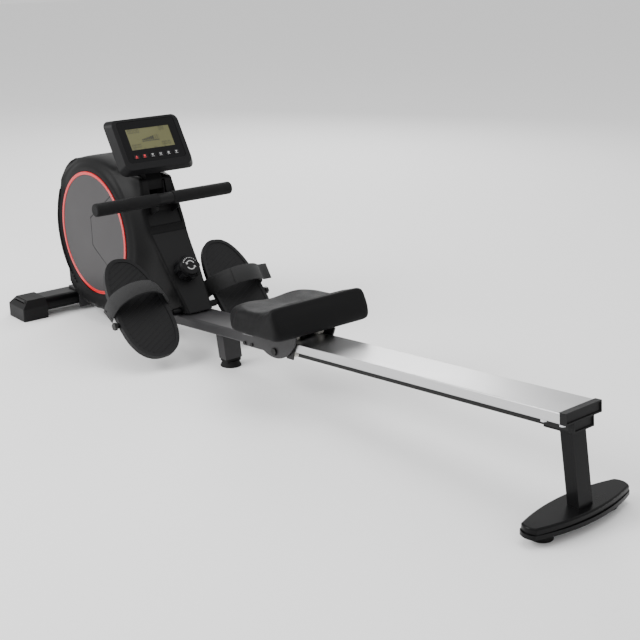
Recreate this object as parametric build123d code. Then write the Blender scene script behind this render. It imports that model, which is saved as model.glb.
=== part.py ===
from build123d import *
from math import atan2, cos, degrees, hypot, radians, sin
import os

os.makedirs("parts", exist_ok=True)

# ---------------------------------------------------------------- driving dimensions (millimetres)
# Stations run rearward from the centre of the front stabilizer. MID_STATION is the middle of the
# whole machine, which is where the part's own origin lies, on the floor.
MID_STATION = 897.375

# Rail and main beam share one slope, rising to the rear. Rail-local x runs along the rail from the
# hinge, and rail-local z is measured up from the rail's running surface.
SLOPE = 5.52
HINGE_STATION = 958.0
RAIL_TOP_AT_HINGE = 151.2
HINGE_DROP = 29.0
HINGE_BOLT_R = 5.5
RAIL_HALF_WIDTH = 51.5
RAIL_HEIGHT = 22.0
RAIL_WALL = 2.5
RAIL_FRONT = -74.0
RAIL_REAR = 832.0
RAIL_TUBE_HALF_WIDTH = 26.0
RAIL_TUBE_HEIGHT = 20.0
END_CAP_LENGTH = 14.0

BEAM_HALF_WIDTH = 50.0
BEAM_TOP = -6.6
BEAM_HEIGHT = 27.0
BEAM_WALL = 2.5
BEAM_FRONT = -970.0
BEAM_REAR = -84.0

EAR_INNER = 55.5
EAR_THICKNESS = 4.0
EAR_RADIUS = 89.0
EAR_START = -124.0
EAR_PEAK = -22.0

STAB_HALF_LENGTH = 245.5
STAB_TUBE_DEPTH = 80.0
STAB_TUBE_HEIGHT = 40.0
STAB_TUBE_BOTTOM = 15.0
CAP_LENGTH = 75.0
CAP_DEPTH = 93.5
CAP_HEIGHT = 57.5

MID_LEG_STATION = 700.0
MID_LEG_DEPTH = 30.0
MID_LEG_HALF_WIDTH = 25.0
MID_FOOT_R = 27.0

DRUM_STATION = 188.7
DRUM_Z = 261.4
DRUM_CROWN_R = 208.3
DRUM_RIM_R = 187.7
DRUM_HALF_WIDTH = 86.0
RING_OUTER_R = 171.0
RING_WIDTH = 9.0
SHELL = 3.0

SPINDLE_STATION = 541.0
SPINDLE_Z = 114.5
SPINDLE_R = 6.5
PEDAL_ANGLE = 44.8
PEDAL_Y = 151.0
PEDAL_HALF_WIDTH = 76.5
PEDAL_THICKNESS = 20.0
PEDAL_ROUNDNESS = 2.42
PEDAL_TOE = 180.0
PEDAL_HEEL = 113.0
STRAP_WIDTH = 46.0
STRAP_THICKNESS = 3.0
STRAP_RISE = {-1: 62.0, 1: 74.0}
STRAP_LEAN = {-1: 18.0, 1: -10.0}
STRAP_BASE = -6.0
STRAP_OFFSET = 46.0

HANDLE_STATION = 423.4
HANDLE_Z = 386.0
HANDLE_HALF_LENGTH = 208.5
GRIP_R = 17.0
HANDLE_TUBE_R = 12.5

KNOB_STATION = 506.5
KNOB_Z = 209.4
KNOB_HEIGHT = 33.0
KNOB_R = 34.0
KNOB_LOBES = 8

CONSOLE_STATION = 374.6
CONSOLE_Z = 528.7
CONSOLE_TILT = 32.7
CONSOLE_HALF_WIDTH = 113.0
CONSOLE_HEIGHT = 157.0
LCD_WIDTH = 132.0
LCD_HEIGHT = 59.0
KEY_COUNT = 6

FLYWHEEL_R = 118.0
DRIVE_STATION = 398.0
DRIVE_Z = 236.0
DRIVE_PULLEY_R = 62.0
SMALL_PULLEY_R = 20.0
REEL_R = 38.0
YOKE_PIVOT = (60.7, 279.4)
GUIDE_ROLLER = (376.0, 372.0)
MAST_INNER = 24.0
MAST_THICKNESS = 3.0

SEAT_FRONT = 838.0
SEAT_REAR = 1075.0
SEAT_HALF_WIDTH = 141.0
PAN_TOP = 26.0
ROLLER_R = 10.0
ROLLER_X = 50.0
LOWER_ROLLER_R = 8.0

LEG_DEPTH = 28.0
LEG_WIDTH = 40.0
LEG_LEAN = 11.0
BASE_STATION = 1799.5
BASE_HALF_DEPTH = 42.0
BASE_HALF_LENGTH = 147.0
REAR_FOOT_Y = 95.0


# ---------------------------------------------------------------- frames and helpers
def station(x, y=0.0, z=0.0):
    """Location at a station, a side offset and a height."""
    return Location((x - MID_STATION, y, z))


RAIL_FRAME = station(HINGE_STATION, 0, RAIL_TOP_AT_HINGE) * Location((0, 0, 0), (0, -SLOPE, 0))
CONSOLE_PLANE = Plane(
    origin=(CONSOLE_STATION - MID_STATION, 0, CONSOLE_Z),
    x_dir=(0, 1, 0),
    z_dir=(cos(radians(CONSOLE_TILT)), 0, sin(radians(CONSOLE_TILT))),
)


def box(x0, x1, y0, y1, z0, z1):
    """Axis-aligned block between two corners, in local coordinates."""
    block = Box(x1 - x0, y1 - y0, z1 - z0)
    return Pos((x0 + x1) / 2, (y0 + y1) / 2, (z0 + z1) / 2) * block


def station_box(x0, x1, y0, y1, z0, z1):
    """Axis-aligned block whose x runs in stations."""
    return Pos(-MID_STATION, 0, 0) * box(x0, x1, y0, y1, z0, z1)


def rod_y(radius, y0, y1, x=0.0, z=0.0):
    """Cylinder along Y from y0 to y1, centred on (x, z)."""
    return Pos(x, (y0 + y1) / 2, z) * Rot(90, 0, 0) * Cylinder(radius, y1 - y0)


def station_rod(radius, y0, y1, x, z):
    """Cylinder along Y whose x is a station."""
    return rod_y(radius, y0, y1, x - MID_STATION, z)


def side_plate(points, y0, y1):
    """Plate with a polygonal outline in the side view, between two Y values."""
    outline = Plane.XZ * make_face(Polyline(*points, close=True))
    return Pos(0, y1, 0) * extrude(outline, y1 - y0)


def station_plate(points, y0, y1):
    """Side plate whose outline x runs in stations."""
    return Pos(-MID_STATION, 0, 0) * side_plate(points, y0, y1)


def pair(shape):
    """A shape and its mirror image on the other side."""
    return [shape, mirror(shape, Plane.XZ)]


def hex_bolt_y(shank_r, y0, y1, head_r, head_t):
    """Bolt along Y with a head outside each end of its shank."""
    shank = rod_y(shank_r, y0, y1)
    head = Rot(90, 0, 0) * extrude(RegularPolygon(head_r, 6), head_t / 2, both=True)
    return shank + Pos(0, y1 + head_t / 2, 0) * head + Pos(0, y0 - head_t / 2, 0) * head


def save(name, shape):
    """Write one sub-part as parts/NAME.step."""
    solids = shape if isinstance(shape, list) else list(shape.solids())
    flat = []
    for item in solids:
        flat.extend(item.solids())
    export_step(flat[0] if len(flat) == 1 else Compound(children=flat), f"parts/{name}.step")


# ---------------------------------------------------------------- front frame
def main_beam():
    """Flat rectangular tube from the front saddle to the hinge ears."""
    length = BEAM_REAR - BEAM_FRONT
    middle = (BEAM_REAR + BEAM_FRONT) / 2
    outer_section = Plane.YZ * RectangleRounded(2 * BEAM_HALF_WIDTH, BEAM_HEIGHT, 6)
    inner_section = Plane.YZ * RectangleRounded(
        2 * (BEAM_HALF_WIDTH - BEAM_WALL), BEAM_HEIGHT - 2 * BEAM_WALL, 3.5)
    tube = extrude(outer_section, length / 2, both=True) - extrude(inner_section, length / 2, both=True)
    beam = RAIL_FRAME * Pos(middle, 0, BEAM_TOP - BEAM_HEIGHT / 2) * tube
    # The saddle is an angle piece that hugs the stabilizer's rear and top faces.
    half = STAB_TUBE_DEPTH / 2
    top = STAB_TUBE_BOTTOM + STAB_TUBE_HEIGHT
    saddle = station_box(-18, half + 6, -66, 66, top + 0.1, top + 6)
    saddle += station_box(half + 0.3, half + 6, -66, 66, 10, top + 6)
    beam -= station_box(-200, half + 3, -80, 80, -20, 200)
    beam += saddle
    for y in (-40, 40):
        beam -= station(0, y, top) * Cylinder(5.0, 30)
    return beam


def stabilizer_tube():
    """Oval tube that lies across the front."""
    outer = Plane.XZ * RectangleRounded(STAB_TUBE_DEPTH, STAB_TUBE_HEIGHT, 17)
    inner = Plane.XZ * RectangleRounded(STAB_TUBE_DEPTH - 5, STAB_TUBE_HEIGHT - 5, 14.5)
    half = STAB_HALF_LENGTH - 12
    tube = extrude(outer, half, both=True) - extrude(inner, half, both=True)
    tube = station(0, 0, STAB_TUBE_BOTTOM + STAB_TUBE_HEIGHT / 2) * tube
    for y in (-40, 40):
        tube -= station(0, y, STAB_TUBE_BOTTOM) * Cylinder(5.0, 120)
    return tube


def stabilizer_cap(side):
    """Chamfered end cap that slides over the tube and stands on the floor."""
    block = box(-CAP_DEPTH / 2, CAP_DEPTH / 2, 0, CAP_LENGTH, 0, CAP_HEIGHT)
    long_edges = block.edges().filter_by(Axis.Y).group_by(Axis.Z)[-1]
    block = chamfer(long_edges, 21, 13)
    outer_top = block.edges().filter_by(Axis.X).group_by(Axis.Z)[-1].sort_by(Axis.Y)[-1]
    block = chamfer(outer_top, 20)
    verticals = block.edges().filter_by(Axis.Z)
    block = fillet(verticals.group_by(Axis.Y)[-1], 4)
    socket = Plane.XZ * RectangleRounded(STAB_TUBE_DEPTH + 0.4, STAB_TUBE_HEIGHT + 0.4, 17.2)
    depth = CAP_LENGTH - 11.5
    socket = Pos(0, depth, STAB_TUBE_BOTTOM + STAB_TUBE_HEIGHT / 2) * extrude(socket, depth + 1)
    cap = Pos(0, STAB_HALF_LENGTH - CAP_LENGTH, 0) * (block - socket)
    if side < 0:
        cap = mirror(cap, Plane.XZ)
    return station(0) * cap


def mid_leg():
    """Rectangular tube that leans back under the beam, just ahead of the hinge."""
    drop = (HINGE_STATION - MID_LEG_STATION) * sin(radians(SLOPE))
    z_top = RAIL_TOP_AT_HINGE - drop + BEAM_TOP - BEAM_HEIGHT
    lean = 14.0
    run = [
        (MID_LEG_STATION - MID_LEG_DEPTH / 2 - lean, z_top + 0.5),
        (MID_LEG_STATION + MID_LEG_DEPTH / 2 - lean, z_top + 3.2),
        (MID_LEG_STATION + MID_LEG_DEPTH / 2, 21),
        (MID_LEG_STATION - MID_LEG_DEPTH / 2, 21),
    ]
    outer = station_plate(run, -MID_LEG_HALF_WIDTH, MID_LEG_HALF_WIDTH)
    inner = [
        (run[0][0] + 2.5, run[0][1] + 9),
        (run[1][0] - 2.5, run[1][1] + 9),
        (run[2][0] - 2.5, 12),
        (run[3][0] + 2.5, 12),
    ]
    leg = outer - station_plate(inner, -MID_LEG_HALF_WIDTH + 2.5, MID_LEG_HALF_WIDTH - 2.5)
    return leg - RAIL_FRAME * box(-400, -100, -60, 60, BEAM_TOP - BEAM_HEIGHT, 60)


def mid_foot():
    """Flared rubber foot with a square plug that closes the leg."""
    pad = Cone(MID_FOOT_R, MID_FOOT_R - 6, 14, align=(Align.CENTER, Align.CENTER, Align.MIN))
    pad = station(MID_LEG_STATION, 0, 0) * pad
    collar = station_box(
        MID_LEG_STATION - MID_LEG_DEPTH / 2, MID_LEG_STATION + MID_LEG_DEPTH / 2,
        -MID_LEG_HALF_WIDTH + 4, MID_LEG_HALF_WIDTH - 4, 13, 21)
    return pad + collar


def ear_outline():
    """Side outline of a hinge ear in rail-local coordinates: straight tail, round belly."""
    top = 16.0
    centre_x = 0.0
    centre_z = 44.0
    bottom = BEAM_TOP - BEAM_HEIGHT
    half_chord_top = (EAR_RADIUS**2 - (top - centre_z) ** 2) ** 0.5
    join_x = centre_x - (EAR_RADIUS**2 - (bottom - centre_z) ** 2) ** 0.5
    lowest = (centre_x, centre_z - EAR_RADIUS)
    rear = (centre_x + half_chord_top, top)
    belly = ThreePointArc((join_x, bottom), lowest, rear)
    edge = Polyline(rear, (EAR_PEAK, top), (BEAM_REAR, BEAM_TOP), (EAR_START, BEAM_TOP),
                    (EAR_START, bottom), (join_x, bottom))
    return make_face(belly + edge)


def hinge_ears():
    """Pair of ears bolted to the beam; the rail swings between them."""
    plate = Plane.XZ * ear_outline()
    ear = Pos(0, EAR_INNER + EAR_THICKNESS, 0) * extrude(plate, EAR_THICKNESS)
    pad = box(EAR_START + 4, BEAM_REAR - 2, BEAM_HALF_WIDTH, EAR_INNER,
              BEAM_TOP - BEAM_HEIGHT + 2, BEAM_TOP - 2)
    ear = ear + pad - rod_y(HINGE_BOLT_R + 0.05, 0, 100, 0, -HINGE_DROP)
    return [RAIL_FRAME * piece for piece in pair(ear)]


def hinge_bolt():
    """Through bolt that the rail folds about."""
    reach = EAR_INNER + EAR_THICKNESS
    return RAIL_FRAME * Pos(0, 0, -HINGE_DROP) * hex_bolt_y(HINGE_BOLT_R, -reach, reach, 9.5, 4.5)


def frame_bolts():
    """Saddle bolts with domed nuts, ear screws, and the nuts on the pedal spindle."""
    group = []
    top = STAB_TUBE_BOTTOM + STAB_TUBE_HEIGHT + 6
    for y in (-40, 40):
        shank = station(0, y, STAB_TUBE_BOTTOM - 2) * Cylinder(
            5, top - STAB_TUBE_BOTTOM + 4, align=(Align.CENTER, Align.CENTER, Align.MIN))
        head = station(0, y, STAB_TUBE_BOTTOM - 2) * Cylinder(9, 4)
        nut = station(0, y, top + 3.5) * extrude(RegularPolygon(9, 6), 3.5, both=True)
        dome = station(0, y, top + 6) * Sphere(6.5)
        group.append(shank + head + nut + dome)
    outer = EAR_INNER + EAR_THICKNESS
    for x in (EAR_START + 8, EAR_START + 36):
        screw = Pos(x, outer + 1.5, BEAM_TOP - BEAM_HEIGHT + 6) * Rot(90, 0, 0) * Cylinder(4.5, 3)
        group.extend(RAIL_FRAME * piece for piece in pair(screw))
    nut = Pos(0, 238, 0) * Rot(90, 0, 0) * extrude(RegularPolygon(10, 6), 4, both=True)
    nut = station(SPINDLE_STATION, 0, SPINDLE_Z) * nut
    group.extend(pair(nut))
    return group


def pedal_spindle():
    """Cross shaft for both footplates, with thicker sleeves next to the frame."""
    shaft = station_rod(SPINDLE_R, -234, 234, SPINDLE_STATION, SPINDLE_Z)
    sleeve = station_rod(9.0, -68, 68, SPINDLE_STATION, SPINDLE_Z)
    return shaft + sleeve


# ---------------------------------------------------------------- drum and tower housing
# Moulded groove in the side discs, from the disc's centre: rearward and up.
DISC_GROOVE = ((104.0, 121.0), (-8.0, 43.7), (-6.0, -33.0), (9.5, -44.7), (119.0, -108.0))
GROOVE_WIDTH = 3.2

# Levels of the tower: height, station of its rear face, half width of its rear face.
TOWER_LEVELS = (
    (60.0, 612.0, 33.0),
    (109.0, 576.0, 38.0),
    (205.0, 508.0, 50.0),
    (310.0, 428.0, 58.0),
    (352.0, 406.0, 56.0),
    (438.0, 384.0, 50.0),
)
TOWER_FRONT_STATION = 268.0
TOWER_FRONT_HALF_WIDTH = 78.0
REAR_SLOPE = degrees(atan2(576.0 - 428.0, 310.0 - 109.0))
REAR_FACE = station(576.0, 0, 109.0) * Location((0, 0, 0), (0, -REAR_SLOPE, 0))


def tower_solid(inset):
    """Wedge that narrows rearward from the drum; inset gives the inside of its wall."""
    sections = []
    for z, rear, half in TOWER_LEVELS:
        level = z - inset if z == TOWER_LEVELS[-1][0] else z
        front_half = TOWER_FRONT_HALF_WIDTH - inset
        if z > DRUM_Z + 120:
            front_half -= 26
        corners = [
            (TOWER_FRONT_STATION, -front_half),
            (rear - 1.3 * inset, -(half - inset)),
            (rear - 1.3 * inset, half - inset),
            (TOWER_FRONT_STATION, front_half),
        ]
        face = make_face(Polyline(*corners, close=True))
        sections.append(station(0, 0, level) * face)
    return loft(sections, ruled=True)


def drum_solid(inset):
    """Crowned drum about a cross axis; inset gives the inside of its wall."""
    crown = DRUM_CROWN_R - inset
    rim = DRUM_RIM_R - inset
    half = DRUM_HALF_WIDTH - inset
    profile = [
        Line((0, 0), (crown, 0)),
        Spline((crown, 0), (crown - 0.3, 0.5 * half), (crown - 5.4, 0.8 * half), (rim, half - 4),
               tangents=((0, 1), (-0.78, 0.62))),
        RadiusArc((rim, half - 4), (rim - 5, half), -6.0),
        Line((rim - 5, half), (0, half)),
        Line((0, half), (0, 0)),
    ]
    half_drum = revolve(make_face(Curve() + profile), Axis.Y)
    drum = half_drum + mirror(half_drum, Plane.XZ)
    return station(DRUM_STATION, 0, DRUM_Z) * drum


def beam_clearance():
    """Space that the beam, the floor side and the sloping underside take out of the housing."""
    return RAIL_FRAME * box(-980, 200, -130, 130, -260, BEAM_TOP + 1.2) & station_box(
        -200, 900, -BEAM_HALF_WIDTH - 1.5, BEAM_HALF_WIDTH + 1.5, -50, 400)


def tower_underside():
    """Everything under the tower's flat lower edge, behind the drum."""
    return RAIL_FRAME * box(-560, 200, -130, 130, -260, -1.0)


def rear_window(grow):
    """Slab at the sloping rear face where the lower cover sits, a little narrower than the face."""
    low, middle, high = 33.0 + grow, 44.5 + grow, 51.5 + grow
    outline = [(-low, 6 - grow), (low, 6 - grow), (middle, 119), (high, 236 + grow),
               (-high, 236 + grow), (-middle, 119)]
    return REAR_FACE * extrude(Plane.YZ * make_face(Polyline(*outline, close=True)), 30, both=True)


def upper_window(grow):
    """Slab where the upper cover with the strap slot sits."""
    low, high = 50.0 + grow, 43.0 + grow
    outline = [(-low, 318 - grow), (low, 318 - grow), (high, 430 + grow), (-high, 430 + grow)]
    slab = extrude(Plane.YZ * make_face(Polyline(*outline, close=True)), 34 + grow / 2, both=True)
    return station(406 - grow / 2, 0, 0) * slab


def housing_shell():
    """Both halves of the housing as one thin shell, with its openings cut."""
    outer = drum_solid(0) + tower_solid(0)
    inner = drum_solid(SHELL) + tower_solid(SHELL)
    shell = outer - inner
    shell -= beam_clearance()
    shell -= tower_underside()
    for side in (-1, 1):
        y = side * DRUM_HALF_WIDTH
        recess = station_rod(RING_OUTER_R + 0.2, y - 1.6, y + 1.6, DRUM_STATION, DRUM_Z)
        shell -= recess
    shell -= station_rod(10.0, -200, 200, SPINDLE_STATION, SPINDLE_Z)
    shell -= station_box(328, 383.5, -36, 36, 431, 500)
    return shell


def housing_parts():
    """Left and right shells and the two rear covers, cut from the one shell."""
    shell = housing_shell()
    lower_cover = (shell & rear_window(0)).solids().sort_by(SortBy.VOLUME)[-1]
    upper_cover = (shell & upper_window(0)).solids().sort_by(SortBy.VOLUME)[-1]
    body = shell - rear_window(0.4) - upper_window(0.4)
    left = (body & station_box(-200, 900, -200, -0.15, -50, 700)).solids().sort_by(SortBy.VOLUME)[-1]
    right = (body & station_box(-200, 900, 0.15, 200, -50, 700)).solids().sort_by(SortBy.VOLUME)[-1]
    return left, right, lower_cover, upper_cover


def side_disc(side):
    """Grey disc inside the red ring, with a shallow raised hub and a moulded groove."""
    radius = RING_OUTER_R - RING_WIDTH - 0.3
    y = DRUM_HALF_WIDTH - 1.5
    disc = rod_y(radius, y, y + 3.0)
    for (x0, z0), (x1, z1) in zip(DISC_GROOVE, DISC_GROOVE[1:]):
        turn = degrees(atan2(z1 - z0, x1 - x0))
        bar = Box(hypot(x1 - x0, z1 - z0) + GROOVE_WIDTH, 2.0, GROOVE_WIDTH)
        disc -= Pos((x0 + x1) / 2, y + 3.0, (z0 + z1) / 2) * Rot(0, -turn, 0) * bar
    disc = station(DRUM_STATION, 0, DRUM_Z) * disc
    return mirror(disc, Plane.XZ) if side < 0 else disc


def side_ring(side):
    """Red trim ring in the drum's side, standing a little proud."""
    y = DRUM_HALF_WIDTH - 1.5
    tube = rod_y(RING_OUTER_R, y, y + 4.5) - rod_y(RING_OUTER_R - RING_WIDTH, y - 1, y + 6)
    tube = fillet(tube.edges().group_by(Axis.Y)[-1], 1.8)
    tube = station(DRUM_STATION, 0, DRUM_Z) * tube
    return mirror(tube, Plane.XZ) if side < 0 else tube


# ---------------------------------------------------------------- inside the housing
def mast():
    """Twin steel plates on the beam that hold the axles, the guide roller and the neck."""
    outline = [(150, 78), (490, 107), (455, 190), (398, 330), (380, 424), (352, 424), (345, 330),
               (300, 290), (180, 297), (51, 290), (51, 268), (156, 238), (150, 150)]
    plate = station_plate(outline, MAST_INNER, MAST_INNER + MAST_THICKNESS)
    plate -= station_rod(4.0, 0, 60, *YOKE_PIVOT)
    plate -= station_rod(8.0, 0, 60, DRUM_STATION, DRUM_Z)
    plate -= station_rod(8.0, 0, 60, DRIVE_STATION, DRIVE_Z)
    plate -= station_rod(30.0, 0, 60, 300, 170)
    plate -= RAIL_FRAME * box(-980, 0, -60, 60, -60, BEAM_TOP)
    return pair(plate)


def axles():
    """Flywheel axle, drive axle, guide roller pin and yoke pin, each fixed in the mast plates."""
    reach = MAST_INNER + MAST_THICKNESS + 5
    return [
        station_rod(8.0, -reach, reach, DRUM_STATION, DRUM_Z),
        station_rod(8.0, -reach, reach, DRIVE_STATION, DRIVE_Z),
        station_rod(3.0, -MAST_INNER, MAST_INNER, *GUIDE_ROLLER),
        station_rod(4.0, -reach, reach, *YOKE_PIVOT),
    ]


def flywheel():
    """Heavy rim on a web, with its small belt pulley."""
    wheel = rod_y(FLYWHEEL_R, -20, 6) - rod_y(FLYWHEEL_R - 14, -21, -9) - rod_y(FLYWHEEL_R - 14, -3, 7)
    wheel += rod_y(24, -20, 6) + rod_y(SMALL_PULLEY_R, 5, 19)
    wheel -= rod_y(8.05, -30, 30)
    for index in range(6):
        wheel -= Rot(0, 60 * index, 0) * rod_y(17, -30, 30, 62, 0)
    return station(DRUM_STATION, 0, DRUM_Z) * wheel


def drive_pulley():
    """Large pulley that drives the flywheel belt."""
    wheel = rod_y(DRIVE_PULLEY_R, 8, 19) - rod_y(DRIVE_PULLEY_R - 8, 12, 20) + rod_y(16, 8, 19)
    return station(DRIVE_STATION, 0, DRIVE_Z) * (wheel - rod_y(8.05, -30, 30))


def strap_reel():
    """Flanged spool with the wound strap, beside the drive pulley."""
    reel = rod_y(REEL_R - 6, -20, 7.6) + rod_y(REEL_R, -22, -19) + rod_y(REEL_R, 4.6, 7.6)
    return station(DRIVE_STATION, 0, DRIVE_Z) * (reel - rod_y(8.05, -30, 30) - rod_y(22, -25, -12))


def recoil_spring():
    """Flat spiral spring inside the reel's open side, drawn as its wound ring."""
    ring = rod_y(21.0, -21.5, -13) - rod_y(12.0, -30, 0)
    return station(DRIVE_STATION, 0, DRIVE_Z) * ring


def belt_loop(grow, y0, y1):
    """Taut loop about both pulleys, grown outward by a distance."""
    far = (DRIVE_STATION, DRIVE_Z)
    near = (DRUM_STATION, DRUM_Z)
    circles = [Pos(*far) * Circle(DRIVE_PULLEY_R + grow), Pos(*near) * Circle(SMALL_PULLEY_R + grow)]
    hull = make_hull(ShapeList([edge for circle in circles for edge in circle.edges()]))
    return Pos(-MID_STATION, y1, 0) * extrude(Plane.XZ * hull, y1 - y0)


def drive_belt():
    """Poly-V belt between the drive pulley and the flywheel's pulley."""
    return belt_loop(3.0, 9.5, 17.5) - belt_loop(0.3, 9, 18)


def magnet_yoke():
    """Curved magnet carrier that swings towards the flywheel's rim."""
    arc = rod_y(FLYWHEEL_R + 17, -22, 8) - rod_y(FLYWHEEL_R + 7, -30, 20)
    wedge = side_plate([(0, 0), (-170, 40), (-170, -75)], -40, 40)
    yoke = arc & wedge
    pivot = (YOKE_PIVOT[0] - DRUM_STATION, YOKE_PIVOT[1] - DRUM_Z)
    yoke = yoke + rod_y(9, -22, 8, *pivot) - rod_y(4.05, -40, 40, *pivot)
    return station(DRUM_STATION, 0, DRUM_Z) * yoke


def guide_roller():
    """Roller that the strap leaves the tower over."""
    roller = rod_y(8.0, -22, 22) - rod_y(3.05, -30, 30)
    return station(GUIDE_ROLLER[0], 0, GUIDE_ROLLER[1]) * roller


def resistance_cable():
    """Cable from the knob's base to the magnet yoke, along the inside of the right shell."""
    route = FilletPolyline(
        (488, 36, 200), (440, 40, 240), (330, 42, 330), (150, 42, 340), (69, 18, 290), radius=45)
    start = Plane(origin=route @ 0, z_dir=route % 0)
    return Pos(-MID_STATION, 0, 0) * sweep(start * Circle(2.2), path=route)


# ---------------------------------------------------------------- covers, knob, handle
def lower_cover_part(cover):
    """Lower rear cover with the hole for the knob's stem."""
    stem = station(KNOB_STATION, 0, KNOB_Z) * Location((0, 0, 0), (0, 90 - REAR_SLOPE, 0)) * Cylinder(7.6, 40)
    return cover - stem


def upper_cover_part(cover):
    """Upper rear cover with the strap slot and the two rests for the handle."""
    slot = station_box(360, 450, -26, 26, 368, 432)
    cover = cover - slot
    rest = station_box(402, 440, 30, 33.8, 346, 386) & station_plate(
        [(400, 346), (412, 346), (440, 362), (440, 372), (404, 386), (400, 386)], 29, 34)
    away = station(HANDLE_STATION, 0, HANDLE_Z) * Location((0, 0, 0), (0, -SLOPE, 0))
    passage = away * (rod_y(GRIP_R + 0.6, 20, 60) + box(0, 80, 20, 60, -GRIP_R - 0.6, GRIP_R + 0.6))
    rest -= passage
    foot = station_box(388, 404, 30, 33.8, 350, 384)
    for piece in pair(rest + foot):
        cover = cover + piece
    return cover


def knob():
    """Lobed resistance knob with a stem into the cover."""
    body = Cylinder(KNOB_R - 5, KNOB_HEIGHT - 8, align=(Align.CENTER, Align.CENTER, Align.MIN))
    for index in range(KNOB_LOBES):
        lobe = Cylinder(8.5, KNOB_HEIGHT - 10, align=(Align.CENTER, Align.CENTER, Align.MIN))
        body += Rot(0, 0, 360 / KNOB_LOBES * index) * Pos(KNOB_R - 8.5, 0, 0) * lobe
    cap = Pos(0, 0, KNOB_HEIGHT - 9) * Cone(28, 25, 9, align=(Align.CENTER, Align.CENTER, Align.MIN))
    stem = Pos(0, 0, -12) * Cylinder(7.5, 13, align=(Align.CENTER, Align.CENTER, Align.MIN))
    turned = Location((0, 0, 0), (0, 90 - REAR_SLOPE, 0)) * (Pos(0, 0, 1.0) * (body + cap + stem))
    return station(KNOB_STATION, 0, KNOB_Z) * turned


def handle_bar():
    """Steel tube of the handle."""
    tube = rod_y(HANDLE_TUBE_R, -HANDLE_HALF_LENGTH + 3, HANDLE_HALF_LENGTH - 3)
    tube -= rod_y(HANDLE_TUBE_R - 2, -300, 300)
    return station(HANDLE_STATION, 0, HANDLE_Z) * tube


def hand_grips():
    """Two foam sleeves that close the tube's ends."""
    grip = rod_y(GRIP_R, 22, HANDLE_HALF_LENGTH) - rod_y(HANDLE_TUBE_R, 0, HANDLE_HALF_LENGTH - 3)
    grip = fillet(grip.edges().group_by(Axis.Y)[-1], 4)
    return [station(HANDLE_STATION, 0, HANDLE_Z) * piece for piece in pair(grip)]


def strap_bracket():
    """Sleeve at the middle of the handle with the eye that the strap is sewn through."""
    sleeve = rod_y(15.5, -21.7, 21.7)
    eye = box(-24, 0, -19, 19, -5, 5)
    eye -= box(-20, -16.5, -17.5, 17.5, -9, 9)
    bracket = sleeve + eye - rod_y(HANDLE_TUBE_R, -30, 30)
    return station(HANDLE_STATION, 0, HANDLE_Z) * Rot(0, -SLOPE, 0) * bracket


def pull_strap():
    """Stretch of webbing between the slot and the handle's eye."""
    band = box(-38, -24.2, -17, 17, -1.2, 1.2)
    return station(HANDLE_STATION, 0, HANDLE_Z) * Rot(0, -SLOPE, 0) * band


# ---------------------------------------------------------------- pedals
def pedal_location(side):
    """Frame at the spindle: local x to the toe, local z up from the foot bed."""
    lean = radians(PEDAL_ANGLE)
    return Plane(
        origin=(SPINDLE_STATION - MID_STATION, side * PEDAL_Y, SPINDLE_Z),
        x_dir=(-cos(lean), 0, sin(lean)),
        z_dir=(sin(lean), 0, cos(lean)),
    ).location


def foot_outline(grow=0.0):
    """Egg-shaped outline with fuller corners than an ellipse: long toe, short heel."""
    points = []
    for step in range(24):
        turn = radians(15 * step)
        length = (PEDAL_TOE if cos(turn) > 0 else PEDAL_HEEL) + grow
        along = abs(cos(turn)) ** (2 / PEDAL_ROUNDNESS) * length
        across = abs(sin(turn)) ** (2 / PEDAL_ROUNDNESS) * (PEDAL_HALF_WIDTH + grow)
        points.append((along if cos(turn) > 0 else -along, across if sin(turn) > 0 else -across))
    return make_face(Spline(*points, periodic=True))


def footplate(side):
    """Footplate: thick rim, sunken foot bed with slanting grip ribs, heel wall and spindle bore."""
    top = 10.0
    bottom = top - PEDAL_THICKNESS
    skirt = loft([Pos(0, 0, bottom) * foot_outline(-5), Pos(0, 0, bottom + 6) * foot_outline()])
    body = skirt + Pos(0, 0, bottom + 6) * extrude(foot_outline(), PEDAL_THICKNESS - 6)
    floor = foot_outline(-10)
    body -= extrude(Pos(0, 0, top - 1.8) * floor, 20)
    hollow = Pos(0, 0, bottom - 1) * extrude(foot_outline(-12), 11)
    body -= hollow - box(-15, 15, -90, 90, bottom - 5, top)
    for index in range(-8, 13):
        rib = Pos(14 * index, 0, top - 1.8) * Rot(0, 0, 28) * Box(3.2, 170, 2.4)
        body += rib & (Pos(0, 0, top - 4) * extrude(foot_outline(-12), 6))
    body -= rod_y(SPINDLE_R + 0.06, -200, 200)
    return pedal_location(side) * body


def arch_region(side, grow):
    """Half ellipse under the strap's arch, grown by a distance."""
    half = PEDAL_HALF_WIDTH + 3.0 + grow
    rise = STRAP_RISE[side] + grow
    return Pos(0, STRAP_BASE) * (Ellipse(half, rise) & Pos(0, rise) * Rectangle(4 * half, 2 * rise))


def strap_arch(side):
    """Webbing arch over the foot, from one rim of the footplate to the other."""
    section = arch_region(side, STRAP_THICKNESS) - arch_region(side, 0)
    band = extrude(Plane.YZ * section, STRAP_WIDTH / 2, both=True)
    if side > 0:
        start = PEDAL_HALF_WIDTH - 20
        tail = Pos(0, -start, 45.5) * Rot(-24, 0, 0) * box(-STRAP_WIDTH / 2, STRAP_WIDTH / 2, -36, 1, 0, 3)
        band = band + tail
    return pedal_location(side) * Pos(STRAP_OFFSET, 0, 0) * Rot(0, STRAP_LEAN[side], 0) * band


# ---------------------------------------------------------------- console
def console_block(z0, z1, width0, height0, width1, height1, radius):
    """Tapered rounded block between two depths of the console."""
    first = Pos(0, 0, z0) * RectangleRounded(width0, height0, radius)
    second = Pos(0, 0, z1) * RectangleRounded(width1, height1, radius)
    return loft([first, second])


def on_console(shape):
    """Place a shape from console-local coordinates."""
    return CONSOLE_PLANE.location * shape


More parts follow.
